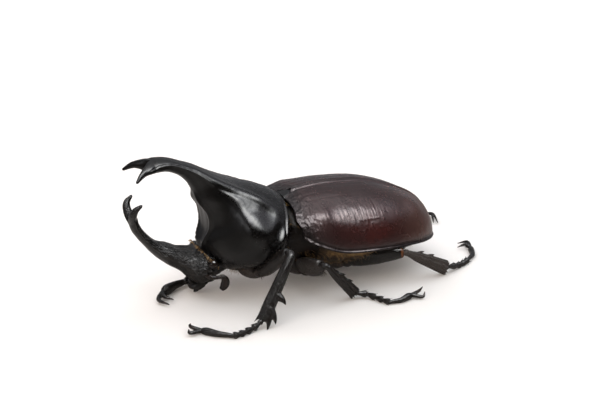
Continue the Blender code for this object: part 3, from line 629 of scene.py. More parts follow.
def forked(grid, marks, prong, web, steps, webBulge, spread):
    ring = grid[0]
    sides = len(ring)
    half = sides // 2
    top, low = ring[0], ring[half]
    forward = unit(np.cross(top - low, (0, 1, 0)))
    lift = (np.arange(web) + 1) / (web + 1)
    webPoints = low + (top - low) * lift[:, None] + forward * (webBulge * np.sin(math.pi * lift))[:, None]
    base, faces, baseMarks = skinOver(grid, (False, True), **marks)
    points = [base, webPoints]
    start = len(base)
    webIndex = list(range(start, start + web))
    start += web
    rows = evenRows(prong, 200)
    ahead = (rows[:, :3] - ring.mean(0)) @ forward
    rows = rows[int(np.argmax(ahead > fork["start"])):]
    rows = rows[np.linspace(0, len(rows) - 1, steps + 1).astype(int)]
    for sign in (-1, 1):
        around = [k % sides for k in (range(half + 1) if sign < 0 else range(sides, half - 1, -1))] + webIndex
        first = np.vstack([ring[around[:half + 1]], webPoints])
        path = rows[:, :3] * (1, sign, 1)
        along = unit(np.gradient(path, axis=0))
        turn = np.concatenate([np.linspace(0, math.pi, half + 1), math.pi * (1 + lift)])
        last = around
        for j in range(1, steps + 1):
            up = unit((top - low) - along[j] * ((top - low) @ along[j]))
            side = np.cross(up, along[j])
            side = side if side[1] * sign > 0 else -side
            size = rows[j, 3] * (1 + swell(turn, fork["edge"]))[:, None]
            flat = spread[0] + (spread[1] - spread[0]) * smoothStep(j / steps, 0.0, fork["flatBy"])
            circle = path[j] + size * (np.cos(turn)[:, None] * up + flat * np.sin(turn)[:, None] * side)
            share = smoothStep(j / steps, 0.0, fork["roundBy"])
            drift = first + (path[j] - path[0])
            points.append(drift * (1 - share) + circle * share)
            here = list(range(start, start + len(around)))
            start += len(around)
            faces += [list(corners) for corners in zip(last, last[1:] + last[:1], here[1:] + here[:1], here)]
            last = here
        points.append((path[-1] + along[-1] * rows[-1, 3] * fork["tip"])[None])
        faces += [[a, b, start] for a, b in zip(last, last[1:] + last[:1])]
        start += 1
    allPoints = np.vstack(points)
    grown = len(allPoints) - len(base)
    full = {name: np.concatenate([values, np.full(grown, values[0])]) for name, values in baseMarks.items()}
    mesh = meshOf((allPoints, faces, full))
    middle = Vector(webPoints.mean(0)) * mm
    near = [v for v in mesh.verts if (v.co - middle).length < fork["easeReach"] * mm]
    for _ in range(fork["eases"]):
        bmesh.ops.smooth_vert(mesh, verts=near, factor=0.5, use_axis_x=True, use_axis_y=True, use_axis_z=True)
    return mesh


# thorax with its horn, one shell without a seam

thorax = {
    # top x z, bottom x z, half width, height of the widest place, fullness above and below, sweep of sides
    "rows": (
        (-33.5, 29.6, -33.3, 27.0, 2.7, 0.62, 2.4, 2.0, 0.0),
        (-32.4, 29.7, -32.6, 26.9, 2.5, 0.70, 2.6, 1.7, 0.0),
        (-30.0, 29.4, -30.4, 26.8, 2.2, 0.75, 2.8, 1.6, 0.0),
        (-27.2, 28.35, -28.3, 25.9, 2.3, 0.75, 2.8, 1.6, 0.0),
        (-24.4, 27.1, -26.6, 24.4, 2.8, 0.75, 2.6, 1.6, 0.0),
        (-21.8, 25.6, -25.4, 22.4, 3.7, 0.72, 2.4, 1.7, 0.0),
        (-19.2, 24.2, -24.8, 19.9, 4.9, 0.68, 2.2, 1.8, 0.0),
        (-16.4, 22.85, -23.6, 17.3, 6.5, 0.66, 2.1, 1.7, 0.2),
        (-13.6, 21.95, -23.3, 13.6, 8.4, 0.62, 2.0, 1.5, 0.4),
        (-11.4, 21.25, -24.2, 10.2, 9.9, 0.60, 2.0, 1.45, 0.6),
        (-9.6, 20.5, -22.6, 5.4, 11.3, 0.55, 2.0, 1.65, 1.0),
        (-8.2, 19.8, -17.0, 5.2, 12.2, 0.46, 2.0, 2.1, 1.6),
        (-7.2, 19.1, -12.6, 5.6, 12.2, 0.41, 2.0, 2.2, 1.8),
        (-6.35, 18.25, -9.4, 7.2, 11.5, 0.40, 2.0, 2.2, 1.8),
    ),
    "back": (-7.4, 17.2, -9.6, 8.4, 9.6, 0.42, 2.0, 2.2, 0.0),
    "rings": 170, "quarter": 36,
    "prong": ((-31.4, 0.6, 28.4, 1.15), (-34.1, 1.7, 28.6, 0.92), (-36.3, 3.2, 28.0, 0.66),
              (-37.9, 4.3, 26.95, 0.28)),
    "fork": (13, 30, -0.1, (1.35, 0.9)),            # points up the web, steps, bulge of the web, flatness
    "collar": ((-25.2, 10.45), (-21.4, 5.7)), "keelTop": ((-21.0, 6.2), (-9.0, 7.6)),
    "lip": ((-24.85, 10.25), (-20.6, 5.5)),
    # ridges and grooves: place, width, height
    "rim": (0.22, 0.26, 0.16), "rimGroove": (0.8, 0.28, -0.14), "edgeBead": (0.0, 1.3, 0.2),
    "collarLines": ((0.3, 0.2, 0.1), (0.75, 0.2, -0.1), (1.2, 0.2, 0.07), (1.65, 0.2, -0.07)),
    "collarReach": 3.0, "collarFrom": (-19.0, -14.0),
    # front face: its foot, top and front, then two ridges that part from their foot up, with a hollow between
    "faceFoot": (8.5, 11.5), "faceTop": (19.5, 22.5), "faceFront": -15.0, "ridgeFoot": 8.0, "ridgeTall": 13.5,
    "ridgeLean": 1.35, "ridgeApart": (1.0, 2.1), "ridgeWidth": 0.42, "faceRidge": 0.42, "faceHollow": 0.55,
    "hornEnd": (0.34, 0.5), "uneven": (0.035, 2.6, 3), "fine": (0.012, 0.7, 2), "fineLeast": 0.4,
    "inwards": 0.35,
    # swells and furrows along lines on both flanks: rows of x, y, z and rise, then how wide
    "lines": (
        (((-26.0, 2.5, 27.0, 0.05), (-22.3, 3.5, 25.0, 0.3), (-20.2, 4.0, 23.9, 0.42),
          (-17.5, 4.6, 22.4, 0.48), (-13.7, 6.3, 20.5, 0.48), (-11.1, 7.7, 18.4, 0.36),
          (-9.1, 8.6, 16.7, 0.05)), 1.15),
        (((-22.0, 4.3, 23.9, -0.05), (-20.1, 4.9, 22.8, -0.2), (-16.3, 6.3, 20.6, -0.26),
          (-13.5, 7.6, 19.3, -0.26), (-11.0, 8.9, 17.1, -0.1)), 0.42),
        (((-18.0, 6.6, 21.0, -0.05), (-15.8, 8.1, 19.4, -0.32), (-13.2, 8.9, 18.3, -0.25),
          (-11.3, 9.6, 16.8, 0.0)), 1.4),
        (((-17.8, 9.2, 17.0, 0.25), (-15.5, 10.8, 15.4, 0.9), (-13.0, 11.6, 14.2, 0.65),
          (-11.5, 11.9, 13.2, 0.2)), 2.3),
        (((-24.0, 2.4, 19.6, 0.05), (-23.6, 2.9, 18.2, 0.3), (-22.9, 3.6, 16.6, 0.3),
          (-22.0, 4.5, 15.0, 0.0)), 0.34),
        (((-12.6, 12.2, 11.6, 0.1), (-11.2, 11.8, 12.6, 0.5), (-10.0, 11.1, 13.8, 0.4),
          (-9.2, 10.4, 15.0, 0.1)), 0.7),
        (((-13.8, 12.1, 13.4, -0.1), (-12.4, 11.9, 14.2, -0.35), (-11.0, 11.2, 15.2, -0.35),
          (-9.6, 10.4, 16.2, 0.0)), 0.8),
    ),
}


def planeNormal(line):
    # of the plane through a line of the XZ plane, facing to -X
    (topX, topZ), (lowX, lowZ) = line
    normal = unit((lowZ - topZ, 0, topX - lowX))
    return normal if normal[0] < 0 else -normal


def beyondLine(line, offset):
    return np.array((line[0][0], 0, line[0][1])) + planeNormal(line) * offset


def alongLine(points, rows, width):
    # rise of a rounded swell along a line that lies alike on both sides
    line = evenRows(rows, 50)
    flat = points.reshape(-1, 3) * (1, 1, 1)
    flat[:, 1] = np.abs(flat[:, 1])
    away = np.linalg.norm(flat[:, None, :] - line[None, :, :3], axis=-1)
    nearest = away.argmin(1)
    return (np.exp(-(away.min(1) / width) ** 2) * line[nearest, 3]).reshape(points.shape[:-1])

def makeThorax():
    s = thorax
    grid, place, turn, offEdge = startForm(s)
    x, y, z = np.moveaxis(grid, -1, 0)
    toRear = np.linalg.norm(grid - grid[-1], axis=-1)
    relief = swell(toRear, s["rim"]) + swell(toRear, s["rimGroove"])
    # two ridges down the front face, with a hollow between them
    share = np.clip((z - s["ridgeFoot"]) / s["ridgeTall"], 0, 1) ** s["ridgeLean"]
    ridgeY = s["ridgeApart"][0] + s["ridgeApart"][1] * np.sin(math.pi * share)
    below = (np.abs(turn - 2 * s["quarter"]) < s["quarter"]) & (x < s["faceFront"])
    face = below * smoothStep(z, *s["faceFoot"]) * (1 - smoothStep(z, *s["faceTop"]))
    ridge = bell(np.abs(y), ridgeY, s["ridgeWidth"]) * face
    relief += s["faceRidge"] * ridge - s["faceHollow"] * face * bell(y, 0, ridgeY * 0.55)
    # raised line along both sides of the horn
    horn = 1 - smoothStep(place, *s["hornEnd"])
    relief += swell(offEdge, s["edgeBead"]) * horn
    for rows, width in s["lines"]:
        relief += alongLine(grid, rows, width)
    behindCollar = -((grid - beyondLine(s["lip"], 0)) * planeNormal(s["lip"])).sum(-1)
    nearHead = smoothStep(-z, *s["collarFrom"]) * (behindCollar < s["collarReach"])
    for line in s["collarLines"]:
        relief += swell(behindCollar, line) * nearHead
    relief += uneven(grid, s["uneven"]) + uneven(grid, s["fine"]) * (s["fineLeast"] + horn)
    crest = 0.5 * bell(offEdge, *s["edgeBead"][:2]) * horn + 0.6 * ridge + 0.6 * bell(toRear, *s["rim"][:2])
    marks = {"dull": np.clip(0.15 + 0.75 * horn + 0.5 * face, 0, 1), "crest": np.clip(crest, 0, 1)}
    grid = raised(grid, relief)
    back = ringOf(s["back"], s["quarter"])
    inner = grid[-1] + (back - grid[-1]) * s["inwards"] + (s["inwards"], 0, 0)
    grid = np.concatenate([grid, inner[None], back[None]])
    marks = {name: np.vstack([m, m[-1:], m[-1:] * 0 + 1]) for name, m in marks.items()}
    mesh = forked(grid, marks, s["prong"], *s["fork"])
    cutAway(mesh, beyondLine(s["lip"], 0), planeNormal(s["lip"]), 1)
    cutAway(mesh, beyondLine(s["keelTop"], 0), -planeNormal(s["keelTop"]), 1)
    nodes = ("pronotum", "thoracic_horn")
    piece("thoraxShell", mesh, [finishes["shell"], finishes["under"]], nodes)
    print("thorax and horn")


makeThorax()


# head with its horn, one shell

head = {
    "rows": (
        (-21.0, 9.0, -18.6, 5.4, 5.4, 0.50, 2.0, 2.2, 0.0),
        (-25.2, 9.4, -21.6, 3.8, 5.7, 0.50, 2.0, 2.2, 0.0),
        (-27.2, 9.9, -24.6, 2.1, 5.0, 0.50, 2.1, 2.2, 0.0),
        (-29.0, 10.7, -26.6, 3.3, 3.9, 0.50, 2.2, 2.0, 0.0),
        (-30.9, 11.65, -28.6, 5.4, 3.1, 0.50, 2.2, 2.0, 0.0),
        (-32.9, 12.35, -31.0, 7.1, 2.6, 0.50, 2.2, 2.0, 0.0),
        (-34.6, 13.9, -33.4, 9.2, 2.1, 0.50, 2.2, 2.0, 0.0),
        (-35.8, 15.4, -35.7, 11.9, 1.7, 0.50, 2.2, 2.0, 0.0),
        (-36.6, 17.0, -37.8, 14.9, 1.5, 0.50, 2.2, 2.0, 0.0),
        (-36.8, 18.0, -38.6, 17.0, 1.6, 0.50, 2.2, 2.0, 0.0),
    ),
    "rings": 130, "quarter": 26,
    "prong": ((-37.3, 0.6, 16.4, 0.85), (-38.2, 1.6, 18.6, 0.88), (-38.0, 2.6, 20.5, 0.7),
              (-36.8, 3.1, 21.65, 0.3)),
    "fork": (9, 26, 0.25, (1.05, 0.92)),
    "eye": (-23.0, 5.35, 7.6), "eyeSize": 1.12, "socket": 0.24, "socketWidth": (0.35, 0.3), "socketEnd": 0.4,
    "brow": ((-28.4, 1.1, 10.4, 0.05), (-27.4, 1.4, 9.95, 0.36), (-26.2, 1.8, 9.6, 0.36),
             (-25.3, 2.3, 9.3, 0.05)),
    "browWidth": 0.4, "hornStart": (0.34, 0.62), "keelStart": (0.2, 0.35),
    # ridges and hollows: place, width, height
    "keel": (0.0, 1.6, 0.12), "hollow": (-27.4, 2.2, -0.2), "eyeRidge": (-24.4, 1.2, 0.12),
    "tooth": (-32.6, 0.5, 0.2), "toothTop": (12.35, 1.2), "grain": (0.11, 0.5, 3),
    "smooth": (-28.0, 2.2, -0.7), "uneven": (0.03, 1.8, 2),
}


def makeHead():
    s = head
    grid, place, turn, offEdge = startForm(s)
    x, y, z = np.moveaxis(grid, -1, 0)
    above = np.minimum(turn, 4 * s["quarter"] - turn) < s["quarter"]
    horn = smoothStep(place, *s["hornStart"])
    keelStart = smoothStep(place, *s["keelStart"])
    relief = swell(offEdge, s["keel"]) * keelStart
    relief += swell(x, s["hollow"]) * bell(y, 0, 2.0) * above              # hollow behind the horn
    relief += swell(x, s["eyeRidge"]) * bell(np.abs(y), 4.3, 0.5) * above  # ridge over each eye
    relief += swell(x, s["tooth"]) * bell(y, 0, 0.6) * above * bell(z, *s["toothTop"])
    relief += alongLine(grid, s["brow"], s["browWidth"])
    relief += uneven(grid, s["grain"]) * (1 - 0.85 * horn) * (1 + swell(x, s["smooth"]))
    relief += uneven(grid, s["uneven"])
    for _, sign in bothSides:
        away = np.linalg.norm(grid - np.array(s["eye"]) * (1, sign, 1), axis=-1)
        socket = bell(away, s["eyeSize"] + s["socketWidth"][0], s["socketWidth"][1])
        relief += s["socket"] * socket * (x < s["eye"][0] + s["socketEnd"])
    crest = bell(offEdge, *s["keel"][:2]) * keelStart * 0.6
    grid = raised(grid, relief)
    marks = {"dull": np.clip(1 - 0.62 * horn + 0 * x, 0, 1), "crest": np.clip(crest, 0, 1)}
    grid, marks = grid[::-1], {name: m[::-1] for name, m in marks.items()}
    mesh = forked(grid, marks, s["prong"], *s["fork"])
    piece("headShell", mesh, [finishes["head"]], ("head", "head_horn"))
    for side, sign in bothSides:
        ball = ballGrid(np.array(s["eye"]) * (1, sign, 1), (s["eyeSize"],) * 3, 32, 48)
        piece("eye" + side, meshOf(skinOver(ball)), [finishes["eye"]], ("eye_" + side.lower(),))
    print("head, horn and eyes")


makeHead()


# antennae and mouthparts

antenna = {
    "stalk": ((-24.4, 5.3, 5.3), (-23.3, 6.7, 5.3), (-22.5, 7.5, 5.6), (-22.0, 7.8, 5.75)),
    "beads": ((0.0, 0.34, 0.52), (0.36, 0.5, 0.44), (0.52, 0.6, 0.42), (0.62, 0.7, 0.42), (0.72, 0.8, 0.42),
              (0.82, 0.9, 0.44), (0.9, 1.0, 0.46)),
    "club": ((-22.2, 7.8, 5.8), (-21.65, 7.8, 5.4), (-21.45, 7.8, 4.5), (-21.75, 7.8, 3.65),
             (-22.25, 7.8, 3.1)),
    "shares": (0.72, 1.0, 0.86), "leafWide": (0.3, 0.55, 0.72, 0.66, 0.35),
    "leafDeep": (0.2, 0.25, 0.27, 0.25, 0.18),
    "leafStep": 0.4, "leafAhead": 0.05,
}


def makeAntenna(side, sign):
    s = antenna
    flip = (1, sign, 1)
    shapes = beadsAlong(evenRows(s["stalk"], 101) * flip, s["beads"], s["shares"], 16)
    for k in (-1, 0, 1):                            # three leaves that lie side by side and bend down
        path = np.array(s["club"]) * flip + (s["leafAhead"] * k, sign * s["leafStep"] * k, 0)
        shapes.append(rod(path, s["leafWide"], s["leafDeep"], (1, 0, 0), 26, 22))
    nodes = ("antenna_" + side.lower(),)
    piece("antenna" + side, meshOf(together(shapes)), [finishes["antenna"]], nodes)


mouth = {
    "chin": (-22.6, 0.0, 3.2), "chinSize": (2.0, 2.8, 1.3),
    "palp": ((-22.9, 1.6, 2.5), (-24.2, 2.1, 1.7), (-25.1, 2.1, 1.3), (-25.8, 1.7, 0.85)),
    "palpParts": ((0.0, 0.28, 0.34), (0.3, 0.52, 0.36), (0.54, 0.72, 0.34), (0.73, 1.0, 0.36)),
    "shares": (0.65, 1.0, 0.8),
    "jaw": ((-24.4, 2.3, 2.6), (-25.7, 2.1, 2.0), (-26.6, 1.4, 1.9), (-26.8, 0.8, 2.3)),
    "jawSizes": (0.75, 0.7, 0.5, 0.16), "jawFlat": 0.8, "lip": (-25.6, 0.0, 2.3), "lipSize": (0.9, 1.6, 0.4),
    "chinGrain": (0.06, 0.6, 2), "grain": (0.05, 0.45, 2), "dull": 0.15,
}


def makeMouth():
    s = mouth
    chin = ballGrid(s["chin"], s["chinSize"], 30, 44)
    chin, lip = raised(chin, uneven(chin, s["chinGrain"])), ballGrid(s["lip"], s["lipSize"], 20, 30)
    shapes = [skinOver(chin), skinOver(lip)]
    for _, sign in bothSides:
        flip = (1, sign, 1)
        shapes += beadsAlong(evenRows(s["palp"], 101) * flip, s["palpParts"], s["shares"], 14)
        deep = [w * s["jawFlat"] for w in s["jawSizes"]]
        shapes.append(rod(np.array(s["jaw"]) * flip, s["jawSizes"], deep, (0, 0, 1), 20, 18))
    points, faces, marks = together(shapes)
    points += np.stack([uneven(points + shift, s["grain"]) for shift in (0, 9, 18)], -1)
    marks["dull"] = np.full(len(points), s["dull"])
    piece("mouthParts", meshOf((points, faces, marks)), [finishes["head"]], ("mouthparts",))
    print("antennae and mouth")


for side, sign in bothSides:
    makeAntenna(side, sign)
makeMouth()


# wing cases

shell = {
    "suture": ((-5.9, 18.1), (-1.6, 19.1), (5.0, 19.35), (12.7, 18.55), (18.2, 16.9), (23.0, 14.75),
               (26.6, 11.9), (28.3, 7.3)),
    "margin": ((-5.6, 11.6, 12.3), (-3.0, 13.1, 10.8), (2.5, 14.1, 8.8), (10.5, 14.4, 8.2), (17.5, 13.2, 7.6),
               (22.9, 10.6, 6.7), (26.9, 6.4, 5.9), (28.5, 0.4, 5.8)),
    "middleX": 10.0, "reach": 18.6, "power": 2.25, "least": 7.5, "thick": 0.7, "seam": 0.06,
    "shoulder": ((0, 0.12, 0.8), (0.62, 0.2)),      # how far the shoulder pushes ahead, along and round
    "scratch": ((6.3, 12.2, 14.7, 0.03), (8.4, 12.25, 14.65, 0.04), (10.4, 12.2, 14.6, 0.06),
                (11.4, 12.15, 14.5, 0.0)),
    "scar": ((6.5, 12.5, 14.3, -0.005), (8.6, 12.6, 14.2, -0.01), (10.8, 12.5, 14.1, -0.01)),
    "scratchWidth": 0.15, "scarWidth": 0.34, "long": 230, "round": 120, "notchReach": 0.17,
    "shieldWidth": 4.4, "shieldLength": 2.8,
    # beads and grooves along the edges, and knobs: place, width, height
    "sutureBeads": ((0.3, 0.26, 0.17), (0.9, 0.26, -0.13)), "frontBead": (0.2, 0.3, 0.12),
    "marginBeads": ((0.18, 0.18, 0.16), (0.7, 0.26, -0.17)),
    "knobs": (((-1.2, 2.0, 0.5), (10.6, 1.9)), ((21.5, 2.6, 0.35), (7.4, 2.2))),
    "streaks": (2.6, 4.6, 6.8), "streakForm": (0.3, -0.035), "streakSpread": ((-6, 10, 28), (0.9, 1.0, 0.25)),
    "front": (-4.5, 1.5), "shoulderEnd": (-5.0, -0.5),
    # creases: stretch of x and of y and z, then height, size and octaves
    "folds": ((1.0, 0.45, 0.45), (0.1, 1.1, 3)), "across": ((1.5, 0.35, 0.35), (0.045, 0.55, 2)),
    "shoulderKnobs": ((0.7, 0.9, 0.9), (0.13, 0.75, 3)), "uneven": ((0.018, 0.6, 2), (0.06, 4.0, 2)),
    # marks: dark along suture, margin and front, then patches along x, up z and round the case; the red patch
    # low on the case is a painted glow of light
    "edges": ((0, 0.5, 0.7), (0.2, 0.9, 1.0), (0, 2.4, 1.3)),
    "warm": ((9.0, 5.5, 0.65), (12.2, 2.7), (0.3, 0.6)), "drawn": ((6.5, 8.0, 1.0), (16.0, 1.8), (0.2, 0.4)),
    "tail": ((12.0, 23.0), (13, 17), 0.85), "wrinkled": ((10, 7, 0.25), (0.55, 0.25), (25, 3, 0.6)),
}


def shellPoints(u, v, inset):
    # outer face of the right wing case, moved inwards by inset; u runs front to tip, v suture to margin
    s = shell
    shape = np.broadcast(u, v).shape
    u, v = np.broadcast_to(u, shape).ravel(), np.broadcast_to(v, shape).ravel()
    topX, topZ = curveAt(s["suture"], u).T
    sideX, sideY, sideZ = curveAt(s["margin"], u).T
    turn = v * math.pi / 2
    out = np.sin(turn) ** (2 / s["power"])
    up = np.maximum(np.cos(turn), 0) ** (2 / s["power"])
    x = sideX + (topX - sideX) * up
    middle = s["middleX"]
    x = np.where(x > middle, middle + (x - middle) * (1 - inset / s["reach"]), x)
    x = x - swell(u, s["shoulder"][0]) * bell(v, *s["shoulder"][1])
    y = sideY * out * (1 - inset / np.maximum(sideY, s["least"]))
    z = sideZ + (topZ - sideZ) * up * (1 - inset / np.maximum(topZ - sideZ, s["least"]))
    return np.stack([x, y, z], -1).reshape(*shape, 3)


def wingRelief(outer, v, toMargin, toFront, scratched):
    # height of the beads, grooves, knobs, streaks and creases of a wing case
    s = shell
    x, y = outer[..., 0], outer[..., 1]
    relief = swell(toFront, s["frontBead"])
    for way, beads in ((y, s["sutureBeads"]), (toMargin, s["marginBeads"])):
        relief += sum(swell(way, bead) for bead in beads)
    for alongX, overY in s["knobs"]:
        relief += swell(x, alongX) * bell(y, *overY)
    if scratched:                                   # a healed scratch
        relief += alongLine(outer, s["scratch"], s["scratchWidth"])
        relief += alongLine(outer, s["scar"], s["scarWidth"])
    for reach in s["streaks"]:
        spread = y / np.maximum(0.3, np.interp(x, *s["streakSpread"]))
        relief += swell(spread, (reach, *s["streakForm"]))
    front = 1 - smoothStep(x, *s["front"])
    wherever = {"folds": front, "across": bell(x, 7, 8) * bell(v, 0.5, 0.25),
                "shoulderKnobs": 1 - smoothStep(x, *s["shoulderEnd"])}
    for name, share in wherever.items():
        stretch, wave = s[name]
        relief += uneven(outer * stretch, wave) * share
    return relief + uneven(outer, *s["uneven"])


def patchOf(x, z, v, form):
    alongX, upZ, roundV = form
    return swell(x, alongX) * bell(z, *upZ) * smoothStep(v, *roundV)


def makeWingCase(side, sign):
    s = shell
    notch = math.asin((s["shieldWidth"] / 2 / s["margin"][0][1]) ** (s["power"] / 2)) * 2 / math.pi
    notchDepth = s["shieldLength"] / (s["suture"][1][0] - s["suture"][0][0]) / (len(s["suture"]) - 1)
    u = np.linspace(0, 1, s["long"])[:, None]
    even = np.linspace(0, 1, s["round"])[None, :]
    v = even - 0.5 * np.sin(2 * math.pi * even) / (2 * math.pi)    # closer together at both edges
    u = u + notchDepth * np.maximum(0, 1 - u / s["notchReach"]) * np.maximum(0, 1 - v / notch)
    outer, inner = shellPoints(u, v, 0.0), shellPoints(u, v, s["thick"])
    normal = unit(np.cross(np.gradient(outer, axis=1), np.gradient(outer, axis=0)))
    normal = np.where((normal * (outer - (8, 0, 8))).sum(-1, keepdims=True) > 0, normal, -normal)
    x, y, z = np.moveaxis(outer, -1, 0)
    toMargin = np.linalg.norm(outer - outer[:, -1:], axis=-1)
    toFront = np.linalg.norm(outer - outer[:1], axis=-1)
    middle, roundV, end = s["wrinkled"]
    wrinkled = 1 - smoothStep(x, *s["front"]) + swell(x, middle) * bell(v, *roundV) + swell(x, end)
    alongX, upZ, most = s["tail"]
    marks = {
        "edge": sum(swell(way, form) for way, form in zip((y, toMargin, toFront), s["edges"])),
        # the red patch is a painted glow of light, not a colour of the case
        "warm": patchOf(x, z, v, s["warm"]), "drawn": patchOf(x, z, v, s["drawn"]), "wrinkled": wrinkled,
        "tail": most * smoothStep(x, *alongX) * (1 - 0.5 * smoothStep(z, *upZ)),
    }
    marks = {name: np.clip(m, 0, 1) for name, m in marks.items()}
    outer = outer + normal * wingRelief(outer, v, toMargin, toFront, sign < 0)[..., None]
    outer[:, 0, 1] = 0
    outer, inner = (face * (1, sign, 1) + (0, sign * s["seam"], 0) for face in (outer, inner))
    lining = {name: float(name == "edge") for name in marks}
    nodes = ("elytron_" + side.lower(),)
    mesh = meshOf(sheetOver(outer, inner, marks, lining))
    piece("wingCase" + side, mesh, [finishes["maroon"]], nodes)


shield = {
    "gap": (0.12, 0.15), "across": 41, "down": 31, "lift": 0.12, "thick": 0.6, "grain": (0.03, 0.5, 2),
    "dull": 0.5,
}


def makeShield():
    # the small shield between the wing cases, arched and pitted at its base
    s = shield
    (frontX, frontZ), (nextX, nextZ) = shell["suture"][:2]
    slope = (nextZ - frontZ) / (nextX - frontX)
    half, length = shell["shieldWidth"] / 2 - s["gap"][0], shell["shieldLength"] - s["gap"][1]
    across = np.linspace(-1, 1, s["across"])[None, :]
    down = np.linspace(0, 1, s["down"])[:, None]
    y = across * (half * (1 - down ** 1.6) + 0.02)
    x = frontX + down * length * (1 - 0.1 * across ** 2)
    fall = 0.02 * y ** 2 + 0.22 * np.abs(across) ** 8 + 0.18 * down ** 8
    top = np.stack([x, y, frontZ + slope * (x - frontX) + s["lift"] - fall], -1)
    top[..., 2] += uneven(top, s["grain"])
    dull = {"dull": s["dull"]}
    mesh = meshOf(sheetOver(top, top - (0, 0, s["thick"]), dull, dull))
    piece("shield", mesh, [finishes["shell"]], ("scutellum",))


for side, sign in bothSides:
    makeWingCase(side, sign)
makeShield()
print("wing cases and shield")


# trunk under the wing cases, and the underside of the thorax

trunk = {
    "belly": ((-7.6, 5.6), (-4.0, 4.1), (2.0, 3.7), (9.5, 3.4), (16.0, 3.6), (20.8, 4.2), (24.2, 5.0),
              (26.0, 5.6)),
    "neck": (-7.2, 16.75, -9.22, 8.69, 9.1, 0.42, 2.0, 2.2, 0.0),
    "inset": 1.6, "rings": 130, "quarter": 30,
    # width and height of the groove and the swell at each plate, then place, width and height of two lines
    "plates": (4.6, 9.0, 12.8, 16.3, 19.5, 22.4), "plateGroove": (0.24, -0.32), "plateSwell": (0.7, 0.14),
    "plateAhead": 0.8, "plateSweep": 0.00875, "chestLine": (-2.6, 0.3, -0.25), "middleLine": (0.0, 0.4, -0.3),
    "uneven": ((0.05, 0.9, 3), (0.09, 2.6, 2)), "end": (0.86, 0.6, 0.3, 0.06), "endBulge": 0.9,
}


def makeTrunk():
    s = trunk
    u = np.linspace(0, 1, s["rings"])
    turn = np.arange(2 * s["quarter"] + 1) * math.pi / (2 * s["quarter"])
    upper = shellPoints(u[:, None], np.clip(turn[None, :s["quarter"] + 1] * 2 / math.pi, 0, 1), s["inset"])
    low = turn[None, s["quarter"] + 1:]
    out, down = np.sin(low) ** (2 / shell["power"]), np.abs(np.cos(low)) ** (2 / shell["power"])
    sideX, sideY, sideZ = shellPoints(u, 1.0, s["inset"]).T[..., None]
    lowX, lowZ = curveAt(s["belly"], u).T[..., None]
    lower = np.stack([sideX + (lowX - sideX) * down, sideY * out, sideZ + (lowZ - sideZ) * down], -1)
    half = np.concatenate([upper, lower], 1)
    half[:, -1, 1] = 0
    grid = np.concatenate([half * (1, -1, 1), half[:, -2:0:-1]], 1)
    grid = np.concatenate([ringOf(s["neck"], s["quarter"])[None], grid])
    x, y, z = np.moveaxis(grid, -1, 0)
    fall = np.arange(grid.shape[1])[None, :]
    fall = np.minimum(fall, 4 * s["quarter"] - fall) / (2 * s["quarter"])
    sweep = x + s["plateSweep"] * y ** 2
    relief = swell(y, s["middleLine"]) * (x < 4) + swell(sweep, s["chestLine"])
    for place in s["plates"]:
        relief += swell(sweep, (place, *s["plateGroove"]))
        relief += swell(sweep, (place - s["plateAhead"], *s["plateSwell"]))
    grid = raised(grid, relief * smoothStep(fall, 0.5, 0.62) + uneven(grid, *s["uneven"]))
    # soft skin: a strip along the side, and patches at the neck
    soft = bell(fall, 0.55, 0.035) * smoothStep(x, -3.0, 1.0) * (1 - smoothStep(x, 7.0, 12.0))
    nearNeck = (1 - smoothStep(x, -6.6, -5.0)) * smoothStep(z, 12, 15)
    soft = soft + 0.7 * smoothStep(grain(grid, 0.9), 0.25, 0.5) * nearNeck
    end, middle = grid[-1], grid[-1].mean(0)
    for share in s["end"]:
        ring = middle + (end - middle) * share + (s["endBulge"] * math.sqrt(1 - share * share), 0, 0)
        grid = np.concatenate([grid, ring[None]])
        soft = np.vstack([soft, soft[-1:]])
    mesh = meshOf(skinOver(grid, soft=np.clip(soft, 0, 1)))
    piece("trunk", mesh, [finishes["under"]], ("pterothorax", "abdomen"), 60)
    return grid


keel = {
    "centre": (-14.9, 0.0, 6.6), "size": (6.0, 6.4, 2.9), "rings": 60, "sides": 90, "gap": -0.12,
    "uneven": ((0.05, 0.8, 3), (0.1, 2.5, 2)), "ridge": (-13.0, 2.5, 0.35), "ridgeWidth": 0.9,
    "ridgeTop": 6.0,
}


def makeKeel():
    s = keel
    grid = ballGrid(s["centre"], s["size"], s["rings"], s["sides"])
    x, y, z = np.moveaxis(grid, -1, 0)
    ridge = swell(x, s["ridge"]) * bell(y, 0, s["ridgeWidth"]) * (z < s["ridgeTop"])
    grid = raised(grid, uneven(grid, *s["uneven"]) + ridge)
    mesh = meshOf(skinOver(grid))
    cutAway(mesh, beyondLine(thorax["keelTop"], s["gap"]), planeNormal(thorax["keelTop"]))
    piece("breastPlate", mesh, [finishes["under"]], ("prosternum",), 60)
    print("trunk and underside")
    return grid


trunkGrid = makeTrunk()
keelGrid = makeKeel()


# legs: points are the coxa's middle, hip, knee and ankle; edge is the way the toothed side of the tibia
# faces; foot runs over the joints of the tarsus to its end, and each claw is a bend point and a tip

